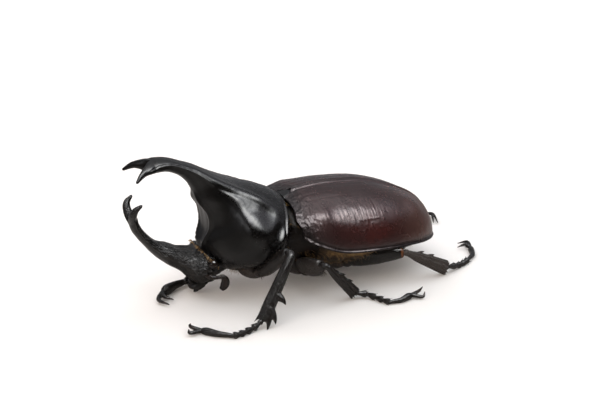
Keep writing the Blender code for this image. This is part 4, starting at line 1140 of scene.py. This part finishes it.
legs = {
    "fore_left": {
        "pair": "fore", "coxa": (-14.2, -4.6, 5.3), "hip": (-13.9, -7.2, 5.6), "knee": (-10.8, -16.9, 12.8),
        "ankle": (-19.2, -21.5, 1.6), "edge": (0.72, -0.62, -0.31),
        "foot": ((-20.2, -21.9, 1.1), (-21.7, -22.4, 0.65), (-23.3, -23.0, 0.5), (-24.8, -23.5, 0.5),
                 (-26.2, -23.6, 0.5), (-28.6, -21.8, 0.6), (-30.8, -19.2, 0.55)),
        "claws": (((-32.6, -17.3, 1.0), (-32.1, -15.9, 0.9)), ((-33.5, -19.4, 0.75), (-33.2, -17.8, 0.7))),
        "bulk": 1.12,
    },
    "fore_right": {
        "pair": "fore", "coxa": (-14.2, 4.6, 5.3), "hip": (-14.0, 7.2, 5.6), "knee": (-12.6, 16.6, 12.0),
        "ankle": (-20.4, 10.6, 1.8), "edge": (0.55, 0.80, -0.25),
        "foot": ((-20.8, 10.1, 1.4), (-22.0, 8.6, 0.7), (-23.1, 7.0, 0.5), (-24.2, 5.4, 0.5),
                 (-25.4, 3.7, 0.8), (-28.6, 2.4, 0.95), (-31.6, 0.5, 0.95)),
        "claws": (((-33.9, -2.6, 0.8), (-32.6, -5.0, 0.5)), ((-32.4, -1.7, 0.9), (-31.0, -3.1, 0.5))),
        "bulk": 1.55,
    },
    "mid_left": {
        "pair": "mid", "coxa": (-4.6, -4.6, 4.2), "hip": (-4.6, -7.6, 4.3), "knee": (-3.8, -16.6, 8.5),
        "ankle": (2.7, -17.3, 1.4), "edge": (0.80, -0.18, 0.47),
        "foot": ((3.3, -17.6, 1.2), (5.2, -18.0, 0.9), (6.3, -19.6, 0.6), (7.1, -21.2, 0.55),
                 (7.9, -22.7, 0.5), (10.5, -22.9, 0.55), (13.0, -22.1, 0.75)),
        "claws": (((15.4, -21.2, 0.9), (16.0, -21.7, 1.9)), ((15.2, -23.2, 0.5), (15.9, -22.9, 1.3))),
    },
    "mid_right": {
        "pair": "mid", "coxa": (-4.6, 4.6, 4.2), "hip": (-4.6, 7.6, 4.9), "knee": (-3.5, 16.6, 9.2),
        "ankle": (2.7, 18.0, 1.4), "edge": (0.80, 0.18, 0.47),
        "foot": ((3.2, 18.5, 1.2), (4.6, 19.9, 0.75), (5.9, 21.1, 0.5), (7.3, 22.2, 0.5),
                 (8.7, 23.1, 0.5), (11.4, 23.6, 0.55), (13.9, 22.9, 0.6)),
        "claws": (((16.2, 22.6, 1.0), (17.2, 21.5, 0.5)), ((15.8, 24.0, 1.0), (17.2, 23.8, 0.5))),
    },
    "hind_left": {
        "pair": "hind", "coxa": (2.2, -5.2, 4.3), "hip": (4.4, -8.6, 4.9), "knee": (15.8, -14.1, 6.6),
        "ankle": (25.6, -14.3, 1.55), "edge": (0.46, 0.16, 0.88),
        "foot": ((26.5, -14.2, 1.5), (28.7, -13.2, 0.9), (30.4, -12.4, 0.55), (31.8, -11.7, 0.5),
                 (33.1, -10.9, 0.5), (35.7, -8.8, 0.55), (37.1, -5.6, 0.6)),
        "claws": (((37.9, -2.8, 0.9), (36.1, -1.8, 0.5)), ((36.6, -4.1, 1.0), (34.9, -3.8, 0.5))),
    },
    "hind_right": {
        "pair": "hind", "coxa": (2.2, 5.2, 4.3), "hip": (4.4, 8.6, 4.9), "knee": (15.8, 14.1, 6.6),
        "ankle": (25.8, 15.0, 1.55), "edge": (0.46, -0.10, 0.88),
        "foot": ((26.8, 15.1, 1.5), (29.0, 15.6, 0.8), (30.7, 16.1, 0.55), (32.2, 16.6, 0.5),
                 (33.7, 17.0, 0.5), (36.2, 17.2, 0.55), (38.4, 16.5, 0.6)),
        "claws": (((39.5, 15.0, 0.8), (38.3, 10.8, 0.5)), ((38.9, 14.6, 1.0), (37.4, 11.2, 0.5))),
    },
}

# teeth: place down the shin, length, lean to the foot, thickness; spurs: side and length
pairs = {
    "fore": {
        "coxaSize": (3.1, 3.8, 2.2), "femurWidth": (1.7, 2.5, 2.4, 1.9, 1.25),
        "femurDepth": (1.2, 1.6, 1.6, 1.4, 1.1), "neck": (0.74, 0.76),
        "tibiaWidth": (0.95, 1.05, 1.15, 1.25, 1.2), "tibiaDepth": (0.85, 0.9, 0.95, 0.95, 0.85),
        "teeth": ((0.6, 2.3, 0.4, 0.75), (0.86, 2.5, 0.95, 0.75), (0.95, 2.55, 3.0, 0.6)),
        "spurs": ((-1.0, 1.4),), "ridges": 0.045, "dull": 0.1, "thighDull": 0.1,
    },
    "mid": {
        "coxaSize": (2.7, 3.9, 1.9), "femurWidth": (1.4, 2.5, 2.7, 2.2, 1.2),
        "femurDepth": (1.0, 1.3, 1.3, 1.2, 1.0), "neck": (0.62, 0.7),
        "tibiaWidth": (0.62, 0.85, 1.0, 1.08, 1.16), "tibiaDepth": (0.56, 0.66, 0.76, 0.82, 0.9),
        "teeth": ((0.32, 1.35, 1.1, 0.4), (0.6, 1.45, 1.2, 0.42)),
        "spurs": ((-1.0, 1.5), (-0.5, 1.3)), "ridges": 0.11, "dull": 0.12, "thighDull": 0.4,
    },
    "hind": {
        "coxaSize": (2.5, 4.8, 1.8), "femurWidth": (1.3, 2.1, 2.2, 1.9, 1.2),
        "femurDepth": (1.0, 1.4, 1.5, 1.3, 1.0), "neck": (0.62, 0.7),
        "tibiaWidth": (0.62, 0.95, 1.15, 1.32, 1.46), "tibiaDepth": (0.56, 0.7, 0.82, 0.9, 1.0),
        "teeth": ((0.27, 1.55, 1.1, 0.42), (0.52, 1.6, 1.3, 0.44), (0.86, 1.1, 2.2, 0.4)),
        "spurs": ((-1.0, 1.5), (-0.5, 1.3)), "ridges": 0.11, "dull": 0.8, "thighDull": 0.05,
    },
}

legForm = {
    "gap": 0.3, "kneeRadius": 1.4, "voxel": 0.075, "footVoxel": 0.065, "narrow": 0.42, "wide": 0.74,
    "claw": (0.44, 0.42, 0.34, 0.1), "coxaUneven": ((0.04, 0.7, 2), (0.08, 2.0, 2)), "coxaFlat": 0.85,
    "thighUneven": ((0.025, 0.8, 2), (0.05, 2.2, 2)), "thighSides": 48, "thighKeel": 0.05,
    "shinGrain": (0.012, 0.4, 2), "flutes": 8, "combStep": (0.16, 0.55), "combSpine": (0.95, 0.1, 0.17),
    "ringSpines": 12, "ringSpine": (0.55, 0.13),
    # spines round each joint of the foot: across, up, length
    "footSpines": ((-0.9, -0.25, 0.75), (0.9, -0.25, 0.75), (-0.4, 0.55, 0.6), (0.4, 0.55, 0.6)),
    # hairs: how many, length, thickness
    "thighHair": (46, (0.5, 1.1), 0.022), "shinHair": (70, (0.35, 0.75), 0.02),
    "footHair": (7, (0.4, 0.8), 0.02), "clawHair": (1.3, 0.035),
}


def legLines(leg):
    # femur's path, its two directions and the rest of the way down to the ankle
    hip, knee, ankle = (np.array(leg[key], float) for key in ("hip", "knee", "ankle"))
    way = unit(knee - hip)
    wide = unit((ankle - knee) - way * (way @ (ankle - knee)))
    fold = math.acos(float(way @ unit(ankle - knee)))
    radius = legForm["kneeRadius"]
    reach = np.linalg.norm(knee - hip) - legForm["gap"] - radius * math.tan(fold / 2)
    hip = hip + way * legForm["gap"]
    femurEnd = hip + way * reach
    start = femurEnd + way * legForm["gap"]
    centre = start + wide * radius
    fold = math.acos(float(way @ unit(ankle - centre)))
    turns = np.linspace(0, fold, 4)[:, None]
    bend = centre - wide * (radius * np.cos(turns)) + way * (radius * np.sin(turns))
    return hip, femurEnd, way, wide, bend, ankle


def spine(root, way, length, thick, edge, bendTo=(0, 0, 0), sides=14):
    # a curved spike whose point lies straight along way; it swings away from bendTo half way up
    path = np.array([root - way * thick] + [root + way * length * share for share in (0.3, 0.68, 1.0)])
    path[1:3] -= np.array(bendTo) * length * 0.1
    sizes = (thick * 1.5, thick, thick * 0.55, 0.07)
    return rod(path, sizes, [w * 0.85 for w in sizes], edge, 14, sides)


def sizeAt(sizes, place):
    return float(curveAt([(w,) for w in sizes], place)[0, 0])


bristles = []                                       # root, way, length, thickness, place on the coat's map


def addBristle(number, root, way, length, thick, place):
    bristles.append((np.array(root, float), unit(way), length, thick, (0.1 + 0.14 * number, place)))


def makeCoxa(leg, form):
    centre, hip = np.array(leg["coxa"], float), np.array(leg["hip"], float)
    yaw = math.atan2(hip[1] - centre[1], hip[0] - centre[0]) + math.pi / 2
    grid = ballGrid(centre, form["coxaSize"], 40, 60, yaw)
    way = legLines(leg)[2]
    ahead = np.maximum((grid - hip) @ way, 0)
    grid = grid - way * (ahead * legForm["coxaFlat"])[..., None]
    grid = raised(grid, uneven(grid, *legForm["coxaUneven"]))
    return skinOver(grid, dull=0.55, crest=0.0, tip=0.0)


def makeFemur(number, leg, form):
    hip, end, way, wide, _, _ = legLines(leg)
    widths, sides = form["femurWidth"], legForm["thighSides"]
    path = np.linspace(hip, end, len(widths))
    deep = np.cross(way, wide)

    def outline(turn, t):
        # a long flat lens: a keel along both edges and a shallow furrow along both flats
        keels = sum(bell(turn, middle * math.pi, 0.25) for middle in (0, 2, 1))
        furrows = sum(bell(turn, middle * math.pi, 0.5) for middle in (0.5, 1.5))
        return 1 + legForm["thighKeel"] * (keels - furrows)

    grid, place = limb(path, widths, form["femurDepth"], wide, 60, sides, outline, (0.55, 0.5))
    grid = raised(grid, uneven(grid, *legForm["thighUneven"]))
    turn = np.arange(sides)[None, :] * 2 * math.pi / sides
    crest = (bell(turn, 0, 0.2) + bell(turn, math.pi, 0.2)) * 0.7
    skin = 0.45 * (leg["pair"] == "hind") * smoothStep(place, 0.99, 1.0)[:, None]
    thigh = skinOver(grid, dull=form["thighDull"], crest=crest, tip=0.0, skin=skin)
    small = skinOver(ballGrid(hip + way * 0.5 + wide * 0.9, (1.3, 1.1, 1.1), 22, 30), dull=0.4)
    count, length, thick = legForm["thighHair"]
    for _ in range(count):                          # a sparse row of hairs along the lower edge
        t = draw.uniform(0.06, 0.94)
        root = path[0] + (path[-1] - path[0]) * t + wide * sizeAt(widths, t) * 0.96
        root = root + deep * draw.uniform(-0.25, 0.25)
        lean = wide + way * draw.uniform(0.1, 0.7) + deep * draw.uniform(-0.3, 0.3)
        addBristle(number, root, lean, draw.uniform(*length), thick, 0.1 + 0.2 * t)
    return together([thigh, small])


def shinAxes(leg, bend, ankle):
    # down the shin, towards its toothed side, and across both
    shin = unit(ankle - bend[-1])
    edge = np.array(leg["edge"], float)
    edge = unit(edge - shin * (shin @ edge))
    return shin, edge, np.cross(shin, edge)


def shinSpines(leg, form, knee, ankle, axes):
    # teeth along the edge, combs beside them, spurs and a crown of short spines at the end
    shin, edge, deep = axes
    step, spread = legForm["combStep"]
    longest, shorter, combThick = legForm["combSpine"]
    endWidth, endDepth = form["tibiaWidth"][-1], form["tibiaDepth"][-1]
    fore = leg["pair"] == "fore"
    shapes = []
    for place, length, lean, thick in form["teeth"]:
        root = knee + (ankle - knee) * place
        width = sizeAt(form["tibiaWidth"], place)
        turned = unit(edge + shin * lean)
        shapes.append(spine(root + edge * (width - 0.42), turned, length, thick, shin, shin - 0.3 * edge))
        for k in () if fore else (-2, -1, 1, 2):    # a slanting comb of small spines at each tooth
            side = unit(edge * (1 - step * k * k) + deep * spread * k)
            base = root + side * width * 0.7 + shin * 0.15
            length = longest - shorter * abs(k)
            shapes.append(spine(base, unit(side * 0.5 + shin), length, combThick, edge, sides=8))
    for place, length in form["spurs"]:
        root = ankle + edge * place * endWidth * 0.8 - shin * 0.3
        shapes.append(spine(root, unit(shin + edge * 0.35 * place), length, 0.26, edge))
    for k in () if fore else range(legForm["ringSpines"]):
        a = 2 * math.pi * k / legForm["ringSpines"]
        side = edge * math.cos(a) * endWidth + deep * math.sin(a) * endDepth
        way = unit(shin + unit(side) * 0.25)
        shapes.append(spine(ankle + side * 0.88, way, *legForm["ringSpine"], edge, sides=8))
    return shapes


def makeTibia(number, leg, form):
    _, end, way, _, bend, ankle = legLines(leg)
    knee = bend[-1]
    axes = shin, edge, deep = shinAxes(leg, bend, ankle)
    count = len(form["tibiaWidth"])
    neck = np.array([end - way * 0.7, end + way * 0.05])
    straight = np.array([knee + (ankle - knee) * k / (count - 1) for k in range(1, count)])
    path = np.vstack([neck, bend[1:], straight])
    widths, depths = ([*form["neck"]] + [form[key][0]] * (len(bend) - 1) + list(form[key][1:])
                      for key in ("tibiaWidth", "tibiaDepth"))

    def outline(turn, t):
        return 1 + form["ridges"] * smoothStep(t, 0.25, 0.4) * np.cos(turn * legForm["flutes"])

    shapes = [rod(path, widths, depths, edge, 90, 64, outline, (0.5, 0.35))]
    for turned in (0.8, -0.8):                      # knobs of the hinge on both sides of the knee
        shapes.append(skinOver(ballGrid(bend[1] + deep * turned * form["tibiaDepth"][0], (0.5,) * 3, 14, 20)))
    shapes.append(skinOver(ballGrid(bend[2] - unit(bend[2] - bend[0] - way) * 0.1, (0.72,) * 3, 14, 20)))
    shapes += shinSpines(leg, form, knee, ankle, axes)
    points, faces, normals = fused(shapes, legForm["voxel"], 3)
    points = points + normals * uneven(points, legForm["shinGrain"])[:, None]
    points[:, 2] = np.maximum(points[:, 2], 0.01)
    overDeep, overEdge = (points - knee) @ deep, (points - knee) @ edge
    ridge = np.cos(np.arctan2(overDeep, overEdge) * legForm["flutes"]) * (form["ridges"] > 0.05)
    tipped = smoothStep(np.hypot(overDeep, overEdge), 2.2, 3.4)
    count, length, thick = legForm["shinHair"]
    for _ in range(count):                          # stiff hairs along the shin
        t, a = draw.uniform(0.15, 0.98), draw.uniform(0, 2 * math.pi)
        width, depth = sizeAt(form["tibiaWidth"], t), sizeAt(form["tibiaDepth"], t)
        side = edge * math.cos(a) * width + deep * math.sin(a) * depth
        root = knee + (ankle - knee) * t + side * 0.97
        lean = shin + unit(side) * draw.uniform(0.35, 0.8)
        addBristle(number, root, lean, draw.uniform(*length), thick, 0.35 + 0.3 * t)
    dull = np.full(len(points), form["dull"])
    return points, faces, {"dull": dull, "crest": np.clip(0.55 * ridge, 0, 1), "tip": 0.6 * tipped}


def makeTarsus(number, leg):
    joints = [np.array(p, float) for p in leg["foot"]]
    _, _, _, _, bend, ankle = legLines(leg)
    stops = [ankle - unit(ankle - bend[-1]) * 0.5] + joints[:5]
    heel, ball, toe = joints[4:]
    up = np.array((0, 0, 1))
    narrow, wideFoot = legForm["narrow"] * 0.8, legForm["wide"]
    bulk = leg.get("bulk", 1.0)
    reach = 0.6 if leg["pair"] == "fore" else 1.0
    shapes = []
    for k, (first, last) in enumerate(zip(stops, stops[1:])):
        way = unit(last - first)
        wide = wideFoot * (0.5 + 0.5 * bulk) if k else 0.6
        middles = [first + (last - first) * share for share in (0.35, 0.82)]
        rows = [first - way * 0.1, *middles, last - way * 0.05]
        sizes = (narrow, wide * 0.68, wide, wide * 0.72)
        shapes.append(rod(rows, sizes, [w * 0.92 for w in sizes], up, 16, 20, None, (0.6, 0.35)))
        for swing, rise, length in legForm["footSpines"] if k else ():
            side = unit(unit(np.cross(way, up)) * swing + up * rise)
            root = first + (last - first) * 0.84 + side * wide * 0.78
            shapes.append(spine(root, unit(way + side * 0.55), length * reach, 0.1, up, sides=8))
    rows = [heel - unit(ball - heel) * 0.3, heel + (ball - heel) * 0.45, ball, ball + (toe - ball) * 0.7, toe]
    sizes = [w * bulk for w in (narrow, 0.46, 0.56, wideFoot, wideFoot * 0.8)]
    shapes.append(rod(rows, sizes, [w * 0.9 for w in sizes], up, 34, 22, None, (0.5, 0.5)))
    last = unit(toe - ball)
    thick = [w * (0.4 + 0.6 * bulk) for w in legForm["claw"]]
    for bend, tip in leg["claws"]:
        line = np.array([toe - last * 0.4, toe + last * 0.3, bend, tip])
        shapes.append(rod(line, thick, thick, up, 30, 14))
    away = unit(np.mean([tip for _, tip in leg["claws"]], axis=0) - toe)
    stalk, sizes = toe + away * 1.3, (0.16, 0.13, 0.12)
    shapes.append(rod([toe, (toe + stalk) / 2, stalk], sizes, sizes, up, 8, 10))
    points, faces, _ = fused(shapes, legForm["footVoxel"], 2)
    points[:, 2] = np.maximum(points[:, 2], 0.005)
    for swing in (-0.35, 0.35):
        lean = away + up * 0.15 + swing * np.cross(away, up)
        addBristle(number, stalk - away * 0.05, lean, *legForm["clawHair"], 0.8)
    count, length, thick = legForm["footHair"]
    for first, end in zip(stops[1:], stops[2:]):
        way = unit(end - first)
        for _ in range(count):
            a = draw.uniform(0, 2 * math.pi)
            side = unit(np.cross(way, up)) * math.cos(a) + up * math.sin(a)
            root = first + (end - first) * draw.uniform(0.6, 0.9) + side * 0.5
            if root[2] > 0.15:
                addBristle(number, root, way + side * 0.5, draw.uniform(*length), thick, 0.7)
    tips = [np.linalg.norm(points - np.array(tip), axis=1) for _, tip in leg["claws"]]
    tipMark = np.maximum(*[1 - smoothStep(d, 0.5, 2.0) for d in tips])
    flat = np.zeros(len(points))
    return points, faces, {"dull": flat + 0.15, "crest": flat, "tip": 0.8 * tipMark}


def makeLegs():
    for number, (name, leg) in enumerate(legs.items()):
        form = pairs[leg["pair"]]
        label = "".join(word.capitalize() for word in name.split("_"))
        shapes = {"coxa": makeCoxa(leg, form), "femur": makeFemur(number, leg, form),
                  "tibia": makeTibia(number, leg, form), "tarsus": makeTarsus(number, leg)}
        for part, shape in shapes.items():
            piece(part + label, meshOf(shape), [finishes["leg"]], (part + "_" + name,), 60)
        print("leg", name)


makeLegs()


# hair: each is a thin bent spike whose patch on the coat's map sits at its root

hairMap = {
    "patch": 0.003, "lowX": -40.0, "highX": 40.0, "axis": 10.0, "margin": 0.02, "sag": 0.12, "ground": 0.04,
    "stations": ((-0.08, 1.0), (0.35, 0.9), (0.7, 0.6), (1.0, 0.15)),    # reach and thickness
}


def coat(name, hairs, finish):
    mesh = bmesh.new()
    uv = mesh.loops.layers.uv.new("OFBake")
    patch = hairMap["patch"]
    for root, way, length, thick, spot in hairs:
        side = unit(np.cross(way, (0.3, 0.2, 0.9)))
        over = np.cross(way, side)
        sag = np.array((0, 0, -1.0)) * length * hairMap["sag"]
        rings = []
        for reach, size in hairMap["stations"]:
            middle = root + way * length * reach + sag * reach * reach
            middle[2] = max(middle[2], hairMap["ground"])
            corners = []
            for c in range(3):
                a = 2 * math.pi * c / 3
                corner = middle + thick * size * (side * math.cos(a) + over * math.sin(a))
                corners.append(mesh.verts.new(corner * mm))
            rings.append(corners)
        made = [mesh.faces.new(rings[0][::-1]), mesh.faces.new(rings[-1])]
        for k in range(3):
            for c in range(3):
                n = (c + 1) % 3
                made.append(mesh.faces.new((rings[k][c], rings[k][n], rings[k + 1][n], rings[k + 1][c])))
        order = {vert: (k, c) for k, ring in enumerate(rings) for c, vert in enumerate(ring)}
        for face in made:
            for loop in face.loops:
                k, c = order[loop.vert]
                loop[uv].uv = (spot[0] + patch * (c / 2 - 0.5), spot[1] + patch * (k / 3 - 0.5))
    piece(name, mesh, [finish], (), 180)


def bodyMap(point):
    # where a point of the body lies on an unwrap round its length
    s = hairMap
    turn = math.atan2(point[1], s["axis"] - point[2]) / (2 * math.pi) + 0.5
    share = 1 - 2 * s["margin"]
    length = (point[0] - s["lowX"]) / (s["highX"] - s["lowX"])
    return s["margin"] + share * length, s["margin"] + share * turn


def stray(by):
    return np.array([draw.uniform(-by, by) for _ in range(3)])


def hairOn(grid, keep, count, length, thick, lie):
    # hairs at random spots of a grid, leaning from its normal towards lie
    normal = outwards(grid)
    hairs = []
    tries = 0
    while len(hairs) < count and tries < count * 60:
        tries += 1
        i, k = draw.randrange(grid.shape[0] - 1), draw.randrange(grid.shape[1])
        spot = grid[i, k] + (grid[i + 1, k] - grid[i, k]) * draw.random()
        if keep(spot, normal[i, k]):
            way = unit(normal[i, k] * draw.uniform(0.5, 0.9) + np.array(lie) + stray(0.25))
            hairs.append((spot, way, draw.uniform(*length), thick, bodyMap(spot)))
    return hairs


# grid, which points and normals of it bear hair, then how many, length, thickness and the way they lie
below = (
    (keelGrid, lambda p, n: n[2] < 0.1 and p[0] < -10, 420, (0.5, 1.1), 0.024, (-0.3, 0, -0.3)),
    (trunkGrid, lambda p, n: n[2] < -0.2 and p[0] < 4.6, 520, (0.4, 1.0), 0.024, (0.5, 0, -0.2)),
    (trunkGrid, lambda p, n: n[2] < -0.1 and p[0] > 4.6 and p[2] > 3, 380, (0.3, 0.7), 0.022, (0.8, 0, 0)),
    (trunkGrid, lambda p, n: abs(p[1]) > 10 and 5.4 < p[2] < 8.6 and -4 < p[0] < 12, 420, (0.4, 0.9), 0.022,
     (0.3, 0, -0.5)),
)

collar = {
    "count": 300, "reach": 0.95, "up": 3.3, "out": 5.9, "sink": -0.1, "ahead": 0.7, "length": (0.25, 0.85),
    "thick": 0.017, "stray": 0.3,
    "tufts": 70, "tuftX": -5.5, "tuftZ": 16.75, "tuftLength": (0.4, 0.8), "tuftThick": 0.03, "tuftStray": 0.4,
}


def makeCollar():
    s = collar
    (topX, topZ), (lowX, lowZ) = thorax["lip"]
    middle = np.array(((topX + lowX) / 2, 0, (topZ + lowZ) / 2))
    up, ahead = unit((topX - lowX, 0, topZ - lowZ)), planeNormal(thorax["collar"])
    hairs = []
    for _ in range(s["count"]):                     # fringe round the neck, between thorax and head
        a = draw.uniform(-1, 1) * math.pi * s["reach"]
        out = up * math.cos(a) * s["up"] + np.array((0, s["out"] * math.sin(a), 0))
        root = middle + out + ahead * s["sink"]
        way = unit(ahead * s["ahead"] + unit(out) * draw.uniform(0.0, 0.6) + stray(s["stray"]))
        hairs.append((root, way, draw.uniform(*s["length"]), s["thick"], bodyMap(root)))
    for _ in range(s["tufts"]):                     # tufts between the thorax and the wing cases
        x = s["tuftX"] + draw.uniform(-0.4, 0.2)
        root = np.array((x, draw.choice((-1, 1)) * draw.uniform(1.7, 3.7), s["tuftZ"]))
        way = unit(np.array((-0.5, 0, 0.6)) + stray(s["tuftStray"]))
        hairs.append((root, way, draw.uniform(*s["tuftLength"]), s["tuftThick"], bodyMap(root)))
    return hairs


def makeHair():
    coats = (("hairBelow", [hair for patch in below for hair in hairOn(*patch)], "hair", "underside"),
             ("hairCollar", makeCollar(), "fringe", "underside"),
             ("hairLegs", bristles, "bristle", "leg_black"))
    for name, hairs, finish, slotName in coats:
        coat(name, hairs, finishes[finish])
    print("hair", sum(len(hairs) for _, hairs, _, _ in coats))


makeHair()


# floor, light and world

studio = {
    "floor": rgb(0.83, 0.825, 0.82), "worn": rgb(0.838, 0.832, 0.825), "floorSize": 4.0,
    "near": rgb(0.40, 0.39, 0.38), "far": rgb(0.05, 0.045, 0.04), "rear": rgb(0.20, 0.20, 0.21),
    "pool": (48.0, 85.0),
    "backdrop": rgb(0.93, 0.93, 0.93),
    # where the floor turns from far to rear, and the sky from front to behind, along Y
    "rearFrom": (-40.0, 120.0), "behindFrom": (-0.2, 0.5),
    # what gloss reflects: dark on the camera's side, pale behind, then soft boxes, each with its direction,
    # where it starts and ends to fade in degrees, and its colour
    "front": rgb(0.03, 0.027, 0.025), "behind": rgb(0.27, 0.275, 0.29),
    "boxes": (
        ((-0.05, -0.30, 0.95), 5.0, 20.0, rgb(14.0, 14.0, 14.4)),
        ((0.20, -0.36, 0.91), 5.0, 18.0, rgb(17.0, 17.1, 16.8)),
        ((0.42, -0.20, 0.89), 5.0, 14.0, rgb(8.0, 8.2, 8.6)),
        ((0.36, -0.50, 0.79), 3.0, 13.0, rgb(6.5, 6.7, 6.9)),
        ((0.66, 0.02, 0.75), 5.0, 30.0, rgb(0.9, 0.9, 1.0)),
        ((0.15, 0.25, 0.96), 8.0, 36.0, rgb(1.4, 1.4, 1.45)),
        ((0.10, 0.40, 0.91), 5.0, 14.0, rgb(2.2, 2.2, 2.2)),
        ((-0.86, -0.36, 0.36), 3.0, 16.0, rgb(2.2, 2.2, 2.3)),
    ),
    # what lights matt surfaces and the floor: a warm base with broad pale sides
    "base": rgb(0.50, 0.45, 0.40),
    "sides": (
        ((-0.85, -0.50, 0.20), 5.0, 45.0, rgb(2.8, 2.4, 2.1)),
        ((-0.30, 0.90, 0.30), 5.0, 50.0, rgb(2.2, 2.0, 2.0)),
        ((0.70, 0.70, 0.20), 5.0, 70.0, rgb(1.3, 1.3, 1.3)),
        ((0.20, 0.0, 1.0), 5.0, 60.0, rgb(0.8, 0.9, 1.0)),
    ),
}


def makeFloor():
    s = studio
    finish, tree, shader, place = startFinish("floor")
    tones = tonesOf(tree, place, 60.0, s["floor"], s["worn"])
    # gloss sees a grey pool round the beetle, beyond it a darker floor behind and a dark one in front
    away = put(tree, "VectorMath", {0: place}, operation="LENGTH").outputs["Value"]
    toRear = ramp(tree, put(tree, "SeparateXYZ", {0: place}).outputs["Y"], *s["rearFrom"])
    outside = blended(tree, toRear, s["far"], s["rear"])
    mirrored = blended(tree, ramp(tree, away, *s["pool"]), s["near"], outside)
    seen = put(tree, "LightPath").outputs["Is Glossy Ray"]
    tree.links.new(blended(tree, seen, tones, mirrored), shader.inputs["Base Color"])
    shader.inputs["Roughness"].default_value = 0.7
    shader.inputs["Specular IOR Level"].default_value = 0.0
    plane = bmesh.new()
    bmesh.ops.create_grid(plane, x_segments=2, y_segments=2, size=s["floorSize"] / 2)
    floor = thingOf("floor", plane, [finish])


def addGlows(tree, way, sky, glows, mode):
    for direction, inner, outer, colour in glows:
        middle = Vector(direction).normalized()
        towards = put(tree, "VectorMath", {0: way, 1: middle}, operation="DOT_PRODUCT")
        ends = [math.cos(math.radians(angle)) for angle in (outer, inner)]
        glow = blended(tree, ramp(tree, towards.outputs["Value"], *ends), rgb(0, 0, 0), colour)
        sky = put(tree, "Mix", {0: 1.0, 6: sky, 7: glow}, data_type="RGBA", blend_type=mode).outputs[2]
    return sky


def makeLight():
    s = studio
    world = bpy.data.worlds.new("studio")
    world.use_nodes = True
    world.cycles.sampling_method = "NONE"
    tree = world.node_tree
    way = put(tree, "TexCoord").outputs["Generated"]
    behind = ramp(tree, put(tree, "SeparateXYZ", {0: way}).outputs["Y"], *s["behindFrom"])
    mirrored = addGlows(tree, way, blended(tree, behind, s["front"], s["behind"]), s["boxes"], "LIGHTEN")
    shading = addGlows(tree, way, s["base"], s["sides"], "ADD")
    rays = put(tree, "LightPath").outputs
    light = blended(tree, rays["Is Glossy Ray"], shading, mirrored)
    seen = blended(tree, rays["Is Camera Ray"], light, s["backdrop"])
    tree.links.new(seen, tree.nodes["Background"].inputs["Color"])
    bpy.context.scene.world = world
    bpy.context.scene.view_settings.view_transform = "Standard"
    print("studio")


makeFloor()
makeLight()
